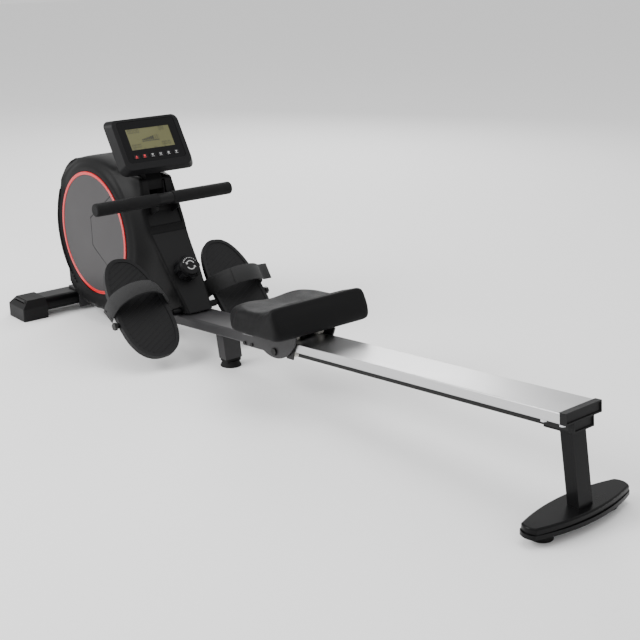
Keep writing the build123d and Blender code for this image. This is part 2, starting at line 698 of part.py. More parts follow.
def console_back():
    """Rear shell of the console."""
    wide = 2 * CONSOLE_HALF_WIDTH
    outer = console_block(-48, -18.2, wide - 44, CONSOLE_HEIGHT - 34, wide, CONSOLE_HEIGHT, 20)
    inner = console_block(-45, -18.0, wide - 52, CONSOLE_HEIGHT - 42, wide - 7, CONSOLE_HEIGHT - 7, 17)
    return on_console(outer - inner)


def console_front():
    """Front frame of the console, with its bevel and the recess for the fascia."""
    wide = 2 * CONSOLE_HALF_WIDTH
    outer = console_block(-18, 2, wide, CONSOLE_HEIGHT, wide - 24, CONSOLE_HEIGHT - 16, 18)
    inner = console_block(-19, -2.6, wide - 8, CONSOLE_HEIGHT - 8, wide - 40, CONSOLE_HEIGHT - 30, 14)
    frame = outer - inner
    recess = Pos(0, 6, -1) * extrude(RectangleRounded(176, 116, 9), 10)
    window = Pos(0, 6, -10) * extrude(RectangleRounded(166, 106, 6), 20)
    return on_console(frame - recess - window)


def key_centre(index):
    """Console-local place of one key."""
    return (-61 + 24.4 * index, -36.0)


def console_fascia():
    """Glossy panel with the window for the display and the holes for the keys."""
    panel = Pos(0, 6, -0.8) * extrude(RectangleRounded(175, 115, 8.5), 1.8)
    panel -= Pos(0, 13, -5) * extrude(Rectangle(LCD_WIDTH, LCD_HEIGHT), 10)
    for index in range(KEY_COUNT):
        x, y = key_centre(index)
        panel -= Pos(x, y, -5) * extrude(RectangleRounded(17, 12, 3), 10)
    return on_console(panel)


def lcd_panel():
    """Liquid crystal display behind the window."""
    return on_console(Pos(0, 13, -6) * extrude(Rectangle(LCD_WIDTH - 0.4, LCD_HEIGHT - 0.4), 6.2))


def console_key(index):
    """One key, standing slightly proud of the fascia."""
    x, y = key_centre(index)
    return on_console(Pos(x, y, -3.5) * extrude(RectangleRounded(16.4, 11.4, 2.8), 5.7))


def console_neck():
    """Post and bracket between the mast plates and the console's back."""
    post = station_plate([(350, 405), (382, 405), (374, 470), (356, 516), (330, 500), (346, 460)], -23.5, 23.5)
    wide_block = station_plate([(338, 452), (377, 452), (366, 482), (352, 508), (332, 494)], -34, 34)
    neck = post + wide_block
    neck -= on_console(Pos(0, 0, -48.1) * extrude(Rectangle(400, 400), 120))
    neck -= station_box(300, 450, -60, 60, 300, 452) - station_box(348, 386, -23.5, 23.5, 300, 470)
    return neck


# ---------------------------------------------------------------- rail, leg and base
def rail_profile():
    """Aluminium profile with three chambers; the seat's rollers run on it."""
    half_height = RAIL_HEIGHT / 2
    section = Plane.YZ * RectangleRounded(2 * RAIL_HALF_WIDTH, RAIL_HEIGHT, 2.5)
    middle = (RAIL_FRONT + RAIL_REAR) / 2
    half_length = (RAIL_REAR - RAIL_FRONT) / 2
    profile = extrude(section, half_length, both=True)
    chambers = [(0, RAIL_TUBE_HALF_WIDTH - 2), (38.5, 10.5), (-38.5, 10.5)]
    for y, half in chambers:
        chamber = Plane.YZ * (Pos(y, 0) * Rectangle(2 * half, RAIL_HEIGHT - 2 * RAIL_WALL))
        profile -= extrude(chamber, half_length + 1, both=True)
    return RAIL_FRAME * Pos(middle, 0, -half_height) * profile


def rail_tube():
    """Steel tube under the profile, bored for the hinge bolt."""
    section = Plane.YZ * (Rectangle(2 * RAIL_TUBE_HALF_WIDTH, RAIL_TUBE_HEIGHT)
                          - Rectangle(2 * RAIL_TUBE_HALF_WIDTH - 5, RAIL_TUBE_HEIGHT - 5))
    middle = (RAIL_FRONT + 2 + RAIL_REAR) / 2
    half_length = (RAIL_REAR - RAIL_FRONT - 2) / 2
    tube = Pos(middle, 0, -RAIL_HEIGHT - RAIL_TUBE_HEIGHT / 2) * extrude(section, half_length, both=True)
    tube -= rod_y(HINGE_BOLT_R + 0.05, -60, 60, 0, -HINGE_DROP)
    return RAIL_FRAME * tube


def rail_end_cap():
    """T-shaped plastic cap with raised rims, which closes the rail and stops the seat."""
    top = 1.6
    wide = box(0, END_CAP_LENGTH, -RAIL_HALF_WIDTH - 1, RAIL_HALF_WIDTH + 1, -RAIL_HEIGHT, top)
    deep = box(0, END_CAP_LENGTH, -RAIL_TUBE_HALF_WIDTH - 3, RAIL_TUBE_HALF_WIDTH + 3,
               -RAIL_HEIGHT - RAIL_TUBE_HEIGHT - 1, -RAIL_HEIGHT)
    cap = wide + deep
    cap -= box(END_CAP_LENGTH - 2.5, END_CAP_LENGTH + 1, -RAIL_HALF_WIDTH + 2, RAIL_HALF_WIDTH - 2,
               -RAIL_HEIGHT + 3, -1.4)
    cap -= box(END_CAP_LENGTH - 2.5, END_CAP_LENGTH + 1, -RAIL_TUBE_HALF_WIDTH, RAIL_TUBE_HALF_WIDTH,
               -RAIL_HEIGHT - RAIL_TUBE_HEIGHT + 2, -RAIL_HEIGHT - 1)
    bumper = box(-1, 0.5, -RAIL_HALF_WIDTH - 1, RAIL_HALF_WIDTH + 1, 0.05, top)
    plugs = [box(-12, 1, y - 9.5, y + 9.5, -RAIL_HEIGHT + 3, -3) for y in (-38.5, 0, 38.5)]
    return RAIL_FRAME * Pos(RAIL_REAR, 0, 0) * (cap + plugs + bumper)


def leg_path(z):
    """Station of the rear leg's centre line at a height."""
    return BASE_STATION + 7.0 - (z - 40.0) * sin(radians(LEG_LEAN)) / cos(radians(LEG_LEAN))


def rear_leg():
    """Rectangular tube that leans between the base and the rail, with its top plate."""
    half = LEG_DEPTH / 2
    outline = [
        (leg_path(40) - half, 40.0), (leg_path(40) + half, 40.0),
        (leg_path(186) + half, 186.0), (leg_path(186) - half, 183.2),
    ]
    leg = station_plate(outline, -LEG_WIDTH / 2, LEG_WIDTH / 2)
    inner = [
        (leg_path(45) - half + 2.5, 45.0), (leg_path(45) + half - 2.5, 45.0),
        (leg_path(178) + half - 2.5, 178.0), (leg_path(178) - half + 2.5, 178.0),
    ]
    leg -= station_plate(inner, -LEG_WIDTH / 2 + 2.5, LEG_WIDTH / 2 - 2.5)
    below = RAIL_FRAME * box(700, 900, -100, 100, -RAIL_HEIGHT - RAIL_TUBE_HEIGHT, 60)
    plate = RAIL_FRAME * box(772, 832, -RAIL_TUBE_HALF_WIDTH, RAIL_TUBE_HALF_WIDTH,
                             -RAIL_HEIGHT - RAIL_TUBE_HEIGHT - 4, -RAIL_HEIGHT - RAIL_TUBE_HEIGHT)
    return leg - below + plate


def leg_bolts():
    """Bright bolts that hold the leg's plate to the rail tube."""
    group = []
    for x in (781, 825):
        for y in (-RAIL_TUBE_HALF_WIDTH - 9, RAIL_TUBE_HALF_WIDTH + 9):
            washer = Pos(x, y, -RAIL_HEIGHT - 1.5) * Cylinder(7.5, 3)
            head = Pos(x, y, -RAIL_HEIGHT - 6) * extrude(RegularPolygon(6.5, 6), 3, both=True)
            group.append(RAIL_FRAME * (washer + head))
    return group


def lens_outline(grow):
    """Pointed oval with blunt ends, seen from above."""
    half_x = BASE_HALF_DEPTH + grow
    half_y = BASE_HALF_LENGTH + grow
    blunt = 19.0
    curve = [
        ThreePointArc((-blunt, -half_y + 8), (-half_x, 0), (-blunt, half_y - 8)),
        ThreePointArc((-blunt, half_y - 8), (0, half_y), (blunt, half_y - 8)),
        ThreePointArc((blunt, half_y - 8), (half_x, 0), (blunt, -half_y + 8)),
        ThreePointArc((blunt, -half_y + 8), (0, -half_y), (-blunt, -half_y + 8)),
    ]
    return make_face(Curve() + curve)


def rear_base():
    """Lens-shaped base plate in two layers."""
    lower = station(BASE_STATION, 0, 18) * extrude(lens_outline(0), 9)
    upper = station(BASE_STATION, 0, 27) * extrude(lens_outline(-3), 13)
    upper = fillet(upper.edges().group_by(Axis.Z)[-1], 4)
    return lower + upper


def rear_feet():
    """Two round rubber feet under the base."""
    foot = Cone(23, 20, 18, align=(Align.CENTER, Align.CENTER, Align.MIN))
    return [station(BASE_STATION - 4, side * REAR_FOOT_Y, 0) * foot for side in (-1, 1)]


# ---------------------------------------------------------------- seat and carriage
def seat_outline(x0, x1, shrink):
    """Plan outline of the seat between two stations: narrow front, straight back."""
    front_half = 108.0 - shrink
    half = SEAT_HALF_WIDTH - shrink
    points = [(x0, -front_half), (x0 + 70, -half + 8), (x1, -half),
              (x1, half), (x0 + 70, half - 8), (x0, front_half)]
    return make_face(Polyline(*points, close=True))


def seat_pad():
    """Foam seat with a raised rear lip and a nose that turns up."""
    under = RAIL_TOP_AT_HINGE + PAN_TOP + 0.4
    climb = sin(radians(SLOPE)) / cos(radians(SLOPE))
    side = [(SEAT_FRONT, 186), (SEAT_FRONT + 40, under + (SEAT_FRONT + 40 - HINGE_STATION) * climb),
            (SEAT_REAR - 24, under + (SEAT_REAR - 24 - HINGE_STATION) * climb), (SEAT_REAR, 196),
            (SEAT_REAR, 206), (SEAT_REAR - 28, 259), (SEAT_REAR - 42, 262), (SEAT_REAR - 76, 236),
            (SEAT_REAR - 130, 223), (SEAT_FRONT + 12, 219), (SEAT_FRONT, 208)]
    block = station_plate(side, -SEAT_HALF_WIDTH - 5, SEAT_HALF_WIDTH + 5)
    plan = station(0, 0, 100) * extrude(seat_outline(SEAT_FRONT, SEAT_REAR, 0), 200)
    plan = fillet(plan.edges().filter_by(Axis.Z), 24)
    return block & plan


def carriage():
    """Steel pan under the pad with two side plates that hang beside the rail and hold every axle."""
    under = PAN_TOP - 3
    outline = [(-70, under), (-70, 0), (-60, -12), (30, -12), (38, -40), (62, -40), (70, -12), (70, under)]
    plate = side_plate(outline, 52.3, 54.3)
    plate -= rod_y(4.05, 0, 80, -ROLLER_X, ROLLER_R + 0.3)
    plate -= rod_y(4.05, 0, 80, ROLLER_X, ROLLER_R + 0.3)
    pan = box(-68, 84, -75, 75, under, PAN_TOP)
    return RAIL_FRAME * (pan + pair(plate))


def carriage_axles():
    """Two cross axles and two stub axles."""
    group = [
        RAIL_FRAME * rod_y(4.0, -55.0, 55.0, x, ROLLER_R + 0.3)
        for x in (-ROLLER_X, ROLLER_X)
    ]
    stub = rod_y(3.0, 30, 52.3, ROLLER_X, -RAIL_HEIGHT - LOWER_ROLLER_R - 0.3)
    group.extend(RAIL_FRAME * piece for piece in pair(stub))
    return group


def upper_rollers(x):
    """Pair of rollers on one cross axle."""
    z = ROLLER_R + 0.3
    roller = rod_y(ROLLER_R, 27, 45, x, z) - rod_y(4.05, 0, 60, x, z)
    roller = fillet(roller.edges().filter_by(GeomType.CIRCLE).sort_by(SortBy.RADIUS)[-2:], 2)
    return [RAIL_FRAME * piece for piece in pair(roller)]


def lower_rollers():
    """Pair of rollers that hold the carriage down from below."""
    z = -RAIL_HEIGHT - LOWER_ROLLER_R - 0.3
    roller = rod_y(LOWER_ROLLER_R, 34, 48, ROLLER_X, z) - rod_y(3.05, 0, 60, ROLLER_X, z)
    return [RAIL_FRAME * piece for piece in pair(roller)]


# ---------------------------------------------------------------- write every sub-part
left_shell, right_shell, lower_cover, upper_cover = housing_parts()

PARTS = {
    "main_beam": main_beam(),
    "stabilizer_tube": stabilizer_tube(),
    "stabilizer_caps": [stabilizer_cap(-1), stabilizer_cap(1)],
    "frame_bolts": frame_bolts(),
    "mid_leg": mid_leg(),
    "mid_foot": mid_foot(),
    "hinge_ears": hinge_ears(),
    "hinge_bolt": hinge_bolt(),
    "pedal_spindle": pedal_spindle(),
    "housing_left": left_shell,
    "housing_right": right_shell,
    "rear_cover_lower": lower_cover_part(lower_cover),
    "rear_cover_upper": upper_cover_part(upper_cover),
    "side_disc_left": side_disc(-1),
    "side_disc_right": side_disc(1),
    "side_ring_left": side_ring(-1),
    "side_ring_right": side_ring(1),
    "mast_plates": mast(),
    "axles": axles(),
    "flywheel": flywheel(),
    "drive_pulley": drive_pulley(),
    "strap_reel": strap_reel(),
    "recoil_spring": recoil_spring(),
    "drive_belt": drive_belt(),
    "magnet_yoke": magnet_yoke(),
    "guide_roller": guide_roller(),
    "resistance_cable": resistance_cable(),
    "resistance_knob": knob(),
    "handle_bar": handle_bar(),
    "hand_grips": hand_grips(),
    "strap_bracket": strap_bracket(),
    "pull_strap": pull_strap(),
    "footplate_left": footplate(-1),
    "footplate_right": footplate(1),
    "foot_strap_left": strap_arch(-1),
    "foot_strap_right": strap_arch(1),
    "console_back": console_back(),
    "console_front": console_front(),
    "console_fascia": console_fascia(),
    "lcd_panel": lcd_panel(),
    "console_neck": console_neck(),
    "rail_profile": rail_profile(),
    "rail_tube": rail_tube(),
    "rail_end_cap": rail_end_cap(),
    "rear_leg": rear_leg(),
    "leg_bolts": leg_bolts(),
    "rear_base": rear_base(),
    "rear_feet": rear_feet(),
    "seat_pad": seat_pad(),
    "seat_carriage": carriage(),
    "carriage_axles": carriage_axles(),
    "rollers_front": upper_rollers(-ROLLER_X),
    "rollers_rear": upper_rollers(ROLLER_X),
    "rollers_lower": lower_rollers(),
}
for index in range(KEY_COUNT):
    PARTS[f"key_{index + 1}"] = console_key(index)
for name, shape in PARTS.items():
    save(name, shape)
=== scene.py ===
from math import atan2, cos, pi, radians, sin

import bmesh
import bpy
import numpy as np
from mathutils import Matrix, Vector


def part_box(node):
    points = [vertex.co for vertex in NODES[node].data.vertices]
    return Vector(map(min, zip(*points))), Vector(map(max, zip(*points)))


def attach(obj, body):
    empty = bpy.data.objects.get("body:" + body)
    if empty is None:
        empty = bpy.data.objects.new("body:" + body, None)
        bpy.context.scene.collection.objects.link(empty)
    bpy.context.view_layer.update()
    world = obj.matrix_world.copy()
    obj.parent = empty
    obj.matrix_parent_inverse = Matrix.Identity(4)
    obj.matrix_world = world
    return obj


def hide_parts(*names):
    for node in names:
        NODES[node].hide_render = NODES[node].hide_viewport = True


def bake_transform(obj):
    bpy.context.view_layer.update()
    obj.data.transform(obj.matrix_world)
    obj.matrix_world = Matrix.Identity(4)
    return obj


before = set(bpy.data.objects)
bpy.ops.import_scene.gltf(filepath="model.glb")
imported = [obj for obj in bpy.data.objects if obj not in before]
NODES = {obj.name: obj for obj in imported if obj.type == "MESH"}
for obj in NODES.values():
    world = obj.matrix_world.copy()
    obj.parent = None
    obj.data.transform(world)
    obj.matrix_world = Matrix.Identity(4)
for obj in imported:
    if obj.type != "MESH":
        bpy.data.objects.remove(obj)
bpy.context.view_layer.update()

# ---------------------------------------------------------------- places and sizes, in metres
# Stations run rearward from the centre of the front stabilizer.
tube_low, tube_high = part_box("stabilizer_tube")
STATION_ZERO = (tube_low.x + tube_high.x) / 2

SLOPE = radians(5.52)
HINGE_STATION = 0.958
RAIL_TOP_AT_HINGE = 0.1512

DRUM_STATION = 0.1887
DRUM_Z = 0.2614
DRUM_CROWN_R = 0.2083
DRUM_RIM_DROP = 0.0206
DRUM_HALF_WIDTH = 0.086
RING_OUTER_R = 0.171
WALL = 0.003
RING_RECESS = 0.0016
DISC_PROUD = 0.0015
GROOVE_HALF_WIDTH = 0.0015
HOUSING_VOXEL = 0.0055
EDGE_ROUND = 0.008
BLEND_WIDTH = 0.05

TOWER_HEIGHTS = (0.060, 0.109, 0.205, 0.310, 0.352, 0.438)
TOWER_REARS = (0.612, 0.576, 0.508, 0.428, 0.406, 0.384)
TOWER_HALVES = (0.033, 0.038, 0.050, 0.058, 0.056, 0.050)
TOWER_FRONT_STATION = 0.268
TOWER_FRONT_HALF = 0.078
TOWER_FRONT_HALF_TOP = 0.052
REAR_SLOPE = atan2(0.576 - 0.428, 0.310 - 0.109)

SPINDLE_STATION = 0.541
SPINDLE_Z = 0.1145
PEDAL_LEAN = radians(44.8)
PEDAL_Y = 0.151
FOOT_STRAP_WIDTH = 0.046
FOOT_STRAP_THICKNESS = 0.0026
FOOT_STRAP_OFFSET = 0.046
FOOT_STRAP_HALF = 0.0810
FOOT_STRAP_RISE = {-1: 0.0635, 1: 0.0755}
FOOT_STRAP_LEAN = {-1: radians(18), 1: radians(-10)}
FOOT_STRAP_BASE = -0.006
FOOT_STRAP_TUCK = 0.016
LOOSE_END_STEPS = 9
LOOSE_END_STEP = 0.0042
RIVET_RADIUS = 0.0042
RIVET_HEIGHT = 0.0020
RIVET_SPACING = 0.013

HANDLE_STATION = 0.4234
HANDLE_Z = 0.386
PULL_STRAP_WIDTH = 0.034
PULL_STRAP_THICKNESS = 0.0022

KNOB_STATION = 0.5065
KNOB_Z = 0.2094
KNOB_FACE = 0.034
PRINT_LOW = 0.00005
PRINT_HIGH = 0.00025

CONSOLE_STATION = 0.3746
CONSOLE_Z = 0.5287
CONSOLE_TILT = radians(32.7)
KEY_PITCH = 0.0244
KEY_V = -0.036
KEY_TOP = 0.0022
KEY_MARK_SCALE = 1.35
FIRST_KEY_U = -0.061
DIGIT_PITCH = 0.0082
DIGIT_WIDTH = 0.0062
DIGIT_HEIGHT = 0.0100

SEAT_FRONT = 0.838
SEAT_REAR = 1.075
SEAT_UNDER = RAIL_TOP_AT_HINGE + 0.0264
SEAT_VOXEL = 0.005
SEAT_SWELL = 0.0045

CAMERA_AZIMUTH = radians(49.96)
CAMERA_ELEVATION = radians(18.61)
CAMERA_ROLL = radians(0.259)
CAMERA_LENS = 66.3
CAMERA_STATION = 3.0070
CAMERA_Y = -1.6404
CAMERA_Z = 1.0694


def at(station, y=0.0, z=0.0):
    """Point in the row frame from a station, a side offset and a height."""
    return Vector((STATION_ZERO + station, y, z))


def axes_frame(origin, x_axis, z_axis):
    """Matrix of a local frame from its origin, x axis and z axis."""
    x_axis = Vector(x_axis).normalized()
    z_axis = Vector(z_axis).normalized()
    y_axis = z_axis.cross(x_axis)
    matrix = Matrix((x_axis, y_axis, z_axis)).transposed().to_4x4()
    matrix.translation = origin
    return matrix


RAIL = axes_frame(at(HINGE_STATION, 0, RAIL_TOP_AT_HINGE),
                  (cos(SLOPE), 0, sin(SLOPE)), (-sin(SLOPE), 0, cos(SLOPE)))
CONSOLE = axes_frame(at(CONSOLE_STATION, 0, CONSOLE_Z),
                     (0, 1, 0), (cos(CONSOLE_TILT), 0, sin(CONSOLE_TILT)))
KNOB = axes_frame(at(KNOB_STATION, 0, KNOB_Z), (0, 1, 0), (cos(REAR_SLOPE), 0, sin(REAR_SLOPE)))
COVER_FACE = axes_frame(at(0.576, 0, 0.109), (0, 1, 0), (cos(REAR_SLOPE), 0, sin(REAR_SLOPE)))
UPPER_FACE = axes_frame(at(0), (0, 1, 0), (1, 0, 0))


def pedal_frame(side):
    """Local frame of a footplate: x to the toe, z up from the foot bed."""
    return axes_frame(at(SPINDLE_STATION, side * PEDAL_Y, SPINDLE_Z),
                      (-cos(PEDAL_LEAN), 0, sin(PEDAL_LEAN)), (sin(PEDAL_LEAN), 0, cos(PEDAL_LEAN)))


# ---------------------------------------------------------------- camera
def add_camera():
    """Three-quarter view from behind the rail's end, on the rower's left."""
    right = Vector((cos(CAMERA_AZIMUTH), sin(CAMERA_AZIMUTH), 0))
    level_back = Vector((sin(CAMERA_AZIMUTH), -cos(CAMERA_AZIMUTH), 0))
    back = level_back * cos(CAMERA_ELEVATION) + Vector((0, 0, sin(CAMERA_ELEVATION)))
    up = back.cross(right)
    rolled_right = cos(CAMERA_ROLL) * right - sin(CAMERA_ROLL) * up
    rolled_up = sin(CAMERA_ROLL) * right + cos(CAMERA_ROLL) * up
    data = bpy.data.cameras.new("camera")
    data.lens = CAMERA_LENS
    data.sensor_width = 36.0
    data.clip_end = 60
    camera = bpy.data.objects.new("camera", data)
    matrix = Matrix((rolled_right, rolled_up, back)).transposed().to_4x4()
    matrix.translation = at(CAMERA_STATION, CAMERA_Y, CAMERA_Z)
    camera.matrix_world = matrix
    bpy.context.scene.collection.objects.link(camera)
    bpy.context.scene.camera = camera


add_camera()


# ---------------------------------------------------------------- materials
class Graph:
    """Short way to wire a material's nodes."""

    def __init__(self, name):
        self.material = bpy.data.materials.new(name)
        self.material.use_nodes = True
        self.nodes = self.material.node_tree.nodes
        self.links = self.material.node_tree.links
        self.shader = self.nodes["Principled BSDF"]

    def add(self, kind, **values):
        """New node; values are its attributes or, where it has none so named, its inputs."""
        node = self.nodes.new(kind)
        for key, value in values.items():
            if hasattr(node, key):
                setattr(node, key, value)
            else:
                node.inputs[key.replace("_", " ")].default_value = value
        return node

    def link(self, source, output, target, socket):
        self.links.new(source.outputs[output], target.inputs[socket])

    def coordinates(self, scale=(1, 1, 1), turn=0.0, kind="Object"):
        """Texture coordinates, turned about Y and scaled."""
        place = self.add("ShaderNodeTexCoord")
        mapping = self.add("ShaderNodeMapping")
        mapping.inputs["Scale"].default_value = scale
        mapping.inputs["Rotation"].default_value = (0, turn, 0)
        self.link(place, kind, mapping, "Vector")
        return mapping

    def noise(self, place, scale, detail=3.0, rough=0.55):
        node = self.add("ShaderNodeTexNoise")
        node.inputs["Scale"].default_value = scale
        node.inputs["Detail"].default_value = detail
        node.inputs["Roughness"].default_value = rough
        self.link(place, "Vector", node, "Vector")
        return node

    def spread(self, source, output, low, high, from_low=0.3, from_high=0.7):
        """Value between two ends as the source goes through its middle range."""
        node = self.add("ShaderNodeMapRange")
        node.inputs["From Min"].default_value = from_low
        node.inputs["From Max"].default_value = from_high
        node.inputs["To Min"].default_value = low
        node.inputs["To Max"].default_value = high
        self.link(source, output, node, "Value")
        return node

    def colours(self, source, output, stops):
        """Colour ramp from a value to the base colour."""
        ramp = self.add("ShaderNodeValToRGB")
        elements = ramp.color_ramp.elements
        while len(elements) < len(stops):
            elements.new(0.5)
        for element, (place, colour) in zip(elements, stops):
            element.position = place
            element.color = (*colour, 1)
        self.link(source, output, ramp, "Fac")
        return ramp

    def bump(self, source, output, distance, strength, before=None):
        node = self.add("ShaderNodeBump")
        node.inputs["Distance"].default_value = distance
        node.inputs["Strength"].default_value = strength
        self.link(source, output, node, "Height")
        if before is not None:
            self.link(before, "Normal", node, "Normal")
        return node


def scaled(colour, factor):
    return tuple(min(1.0, channel * factor) for channel in colour)


def surface(name, colour, rough, grain=1500.0, bump=0.25, depth=0.00012, metal=0.0,
            coat=0.0, variation=0.12, specular=0.5, stretch=(1, 1, 1), turn=0.0, worn=0.0):
    """General finish: fine grain, slow patches of colour and gloss, and paler worn edges."""
    g = Graph(name)
    fine_place = g.coordinates(stretch, turn)
    broad_place = g.coordinates()
    fine = g.noise(fine_place, grain, 4.0, 0.6)
    broad = g.noise(broad_place, 7.0, 5.0, 0.6)
    stops = [(0.3, scaled(colour, 1 - variation)), (0.7, scaled(colour, 1 + variation))]
    ramp = g.colours(broad, "Fac", stops)
    if worn:
        edge = g.add("ShaderNodeNewGeometry")
        mask = g.spread(edge, "Pointiness", 0.0, worn, 0.515, 0.56)
        mix = g.add("ShaderNodeMix", data_type="RGBA")
        mix.inputs["B"].default_value = (*scaled(colour, 3.0), 1)
        g.links.new(mask.outputs["Result"], mix.inputs["Factor"])
        g.links.new(ramp.outputs["Color"], mix.inputs["A"])
        g.links.new(mix.outputs["Result"], g.shader.inputs["Base Color"])
    else:
        g.link(ramp, "Color", g.shader, "Base Color")
    gloss = g.spread(broad, "Fac", rough * 0.88, min(1.0, rough * 1.12))
    g.link(gloss, "Result", g.shader, "Roughness")
    if bump > 0:
        g.link(g.bump(fine, "Fac", depth, bump), "Normal", g.shader, "Normal")
    g.shader.inputs["Metallic"].default_value = metal
    g.shader.inputs["Coat Weight"].default_value = coat
    g.shader.inputs["Coat Roughness"].default_value = 0.12
    g.shader.inputs["Specular IOR Level"].default_value = specular
    return g.material


def brushed(name, colour, rough, turn=0.0, metal=1.0):
    """Metal brushed along the rail: long fine lines across which the gloss changes."""
    g = Graph(name)
    lines = g.noise(g.coordinates((6, 1400, 1400), turn), 1.0, 6.0, 0.7)
    patches = g.noise(g.coordinates((2, 9, 9), turn), 1.0, 4.0, 0.6)
    mix = g.colours(lines, "Fac", [(0.25, scaled(colour, 0.86)), (0.75, scaled(colour, 1.08))])
    g.link(mix, "Color", g.shader, "Base Color")
    gloss = g.spread(patches, "Fac", rough * 0.8, rough * 1.25)
    g.link(gloss, "Result", g.shader, "Roughness")
    g.link(g.bump(lines, "Fac", 0.00006, 0.35), "Normal", g.shader, "Normal")
    g.shader.inputs["Metallic"].default_value = metal
    return g.material


def woven(name, colour, warp=0.0016, weft=0.0022, bump=0.6, warp_only=False):
    """Webbing whose threads follow the piece's own UV, which is in metres."""
    g = Graph(name)
    place = g.add("ShaderNodeTexCoord")
    split = g.add("ShaderNodeSeparateXYZ")
    g.link(place, "UV", split, "Vector")

    def wave(axis, pitch):
        turn = g.add("ShaderNodeMath", operation="MULTIPLY")
        turn.inputs[1].default_value = 2 * pi / pitch
        g.link(split, axis, turn, 0)
        wave_node = g.add("ShaderNodeMath", operation="SINE")
        g.link(turn, "Value", wave_node, 0)
        return wave_node

    across = wave("Y", warp)
    if warp_only:
        height = across
    else:
        height = g.add("ShaderNodeMath", operation="MULTIPLY")
        g.link(across, "Value", height, 0)
        g.link(wave("X", weft), "Value", height, 1)
    fuzz = g.noise(g.coordinates(kind="UV"), 900.0, 4.0, 0.7)
    ramp = g.colours(height, "Value", [(0.0, scaled(colour, 0.72)), (1.0, scaled(colour, 1.2))])
    g.link(ramp, "Color", g.shader, "Base Color")
    thread = g.bump(height, "Value", 0.0003, bump)
    g.link(g.bump(fuzz, "Fac", 0.0001, 0.35, thread), "Normal", g.shader, "Normal")
    rough = g.spread(fuzz, "Fac", 0.78, 0.95)
    g.link(rough, "Result", g.shader, "Roughness")
    g.shader.inputs["Sheen Weight"].default_value = 0.04
    g.shader.inputs["Sheen Roughness"].default_value = 0.5
    return g.material


def vinyl(name, colour):
    """Embossed upholstery vinyl: small pebbles with creases between them."""
    g = Graph(name)
    place = g.coordinates()
    cells = g.add("ShaderNodeTexVoronoi", feature="DISTANCE_TO_EDGE")
    cells.inputs["Scale"].default_value = 620.0
    g.link(place, "Vector", cells, "Vector")
    broad = g.noise(place, 16.0, 5.0, 0.6)
    ramp = g.colours(broad, "Fac", [(0.3, scaled(colour, 0.85)), (0.7, scaled(colour, 1.18))])
    g.link(ramp, "Color", g.shader, "Base Color")
    pebble = g.bump(cells, "Distance", 0.0006, 0.35)
    soft = g.bump(g.noise(place, 60.0, 3.0, 0.5), "Fac", 0.0006, 0.12, pebble)
    g.link(soft, "Normal", g.shader, "Normal")
    gloss = g.spread(broad, "Fac", 0.50, 0.64)
    g.link(gloss, "Result", g.shader, "Roughness")
    g.shader.inputs["Specular IOR Level"].default_value = 0.12
    return g.material


def foam(name, colour):
    """Closed-cell foam: tiny pits with a dull skin."""
    g = Graph(name)
    place = g.coordinates()
    cells = g.add("ShaderNodeTexVoronoi", feature="F1")
    cells.inputs["Scale"].default_value = 900.0
    g.link(place, "Vector", cells, "Vector")
    broad = g.noise(place, 22.0, 4.0, 0.6)
    ramp = g.colours(broad, "Fac", [(0.3, scaled(colour, 0.8)), (0.7, scaled(colour, 1.25))])
    g.link(ramp, "Color", g.shader, "Base Color")
    pits = g.bump(cells, "Distance", 0.0004, 0.5)
    g.link(g.bump(broad, "Fac", 0.0008, 0.15, pits), "Normal", g.shader, "Normal")
    g.shader.inputs["Roughness"].default_value = 0.78
    g.shader.inputs["Specular IOR Level"].default_value = 0.2
    g.shader.inputs["Sheen Weight"].default_value = 0.02
    return g.material


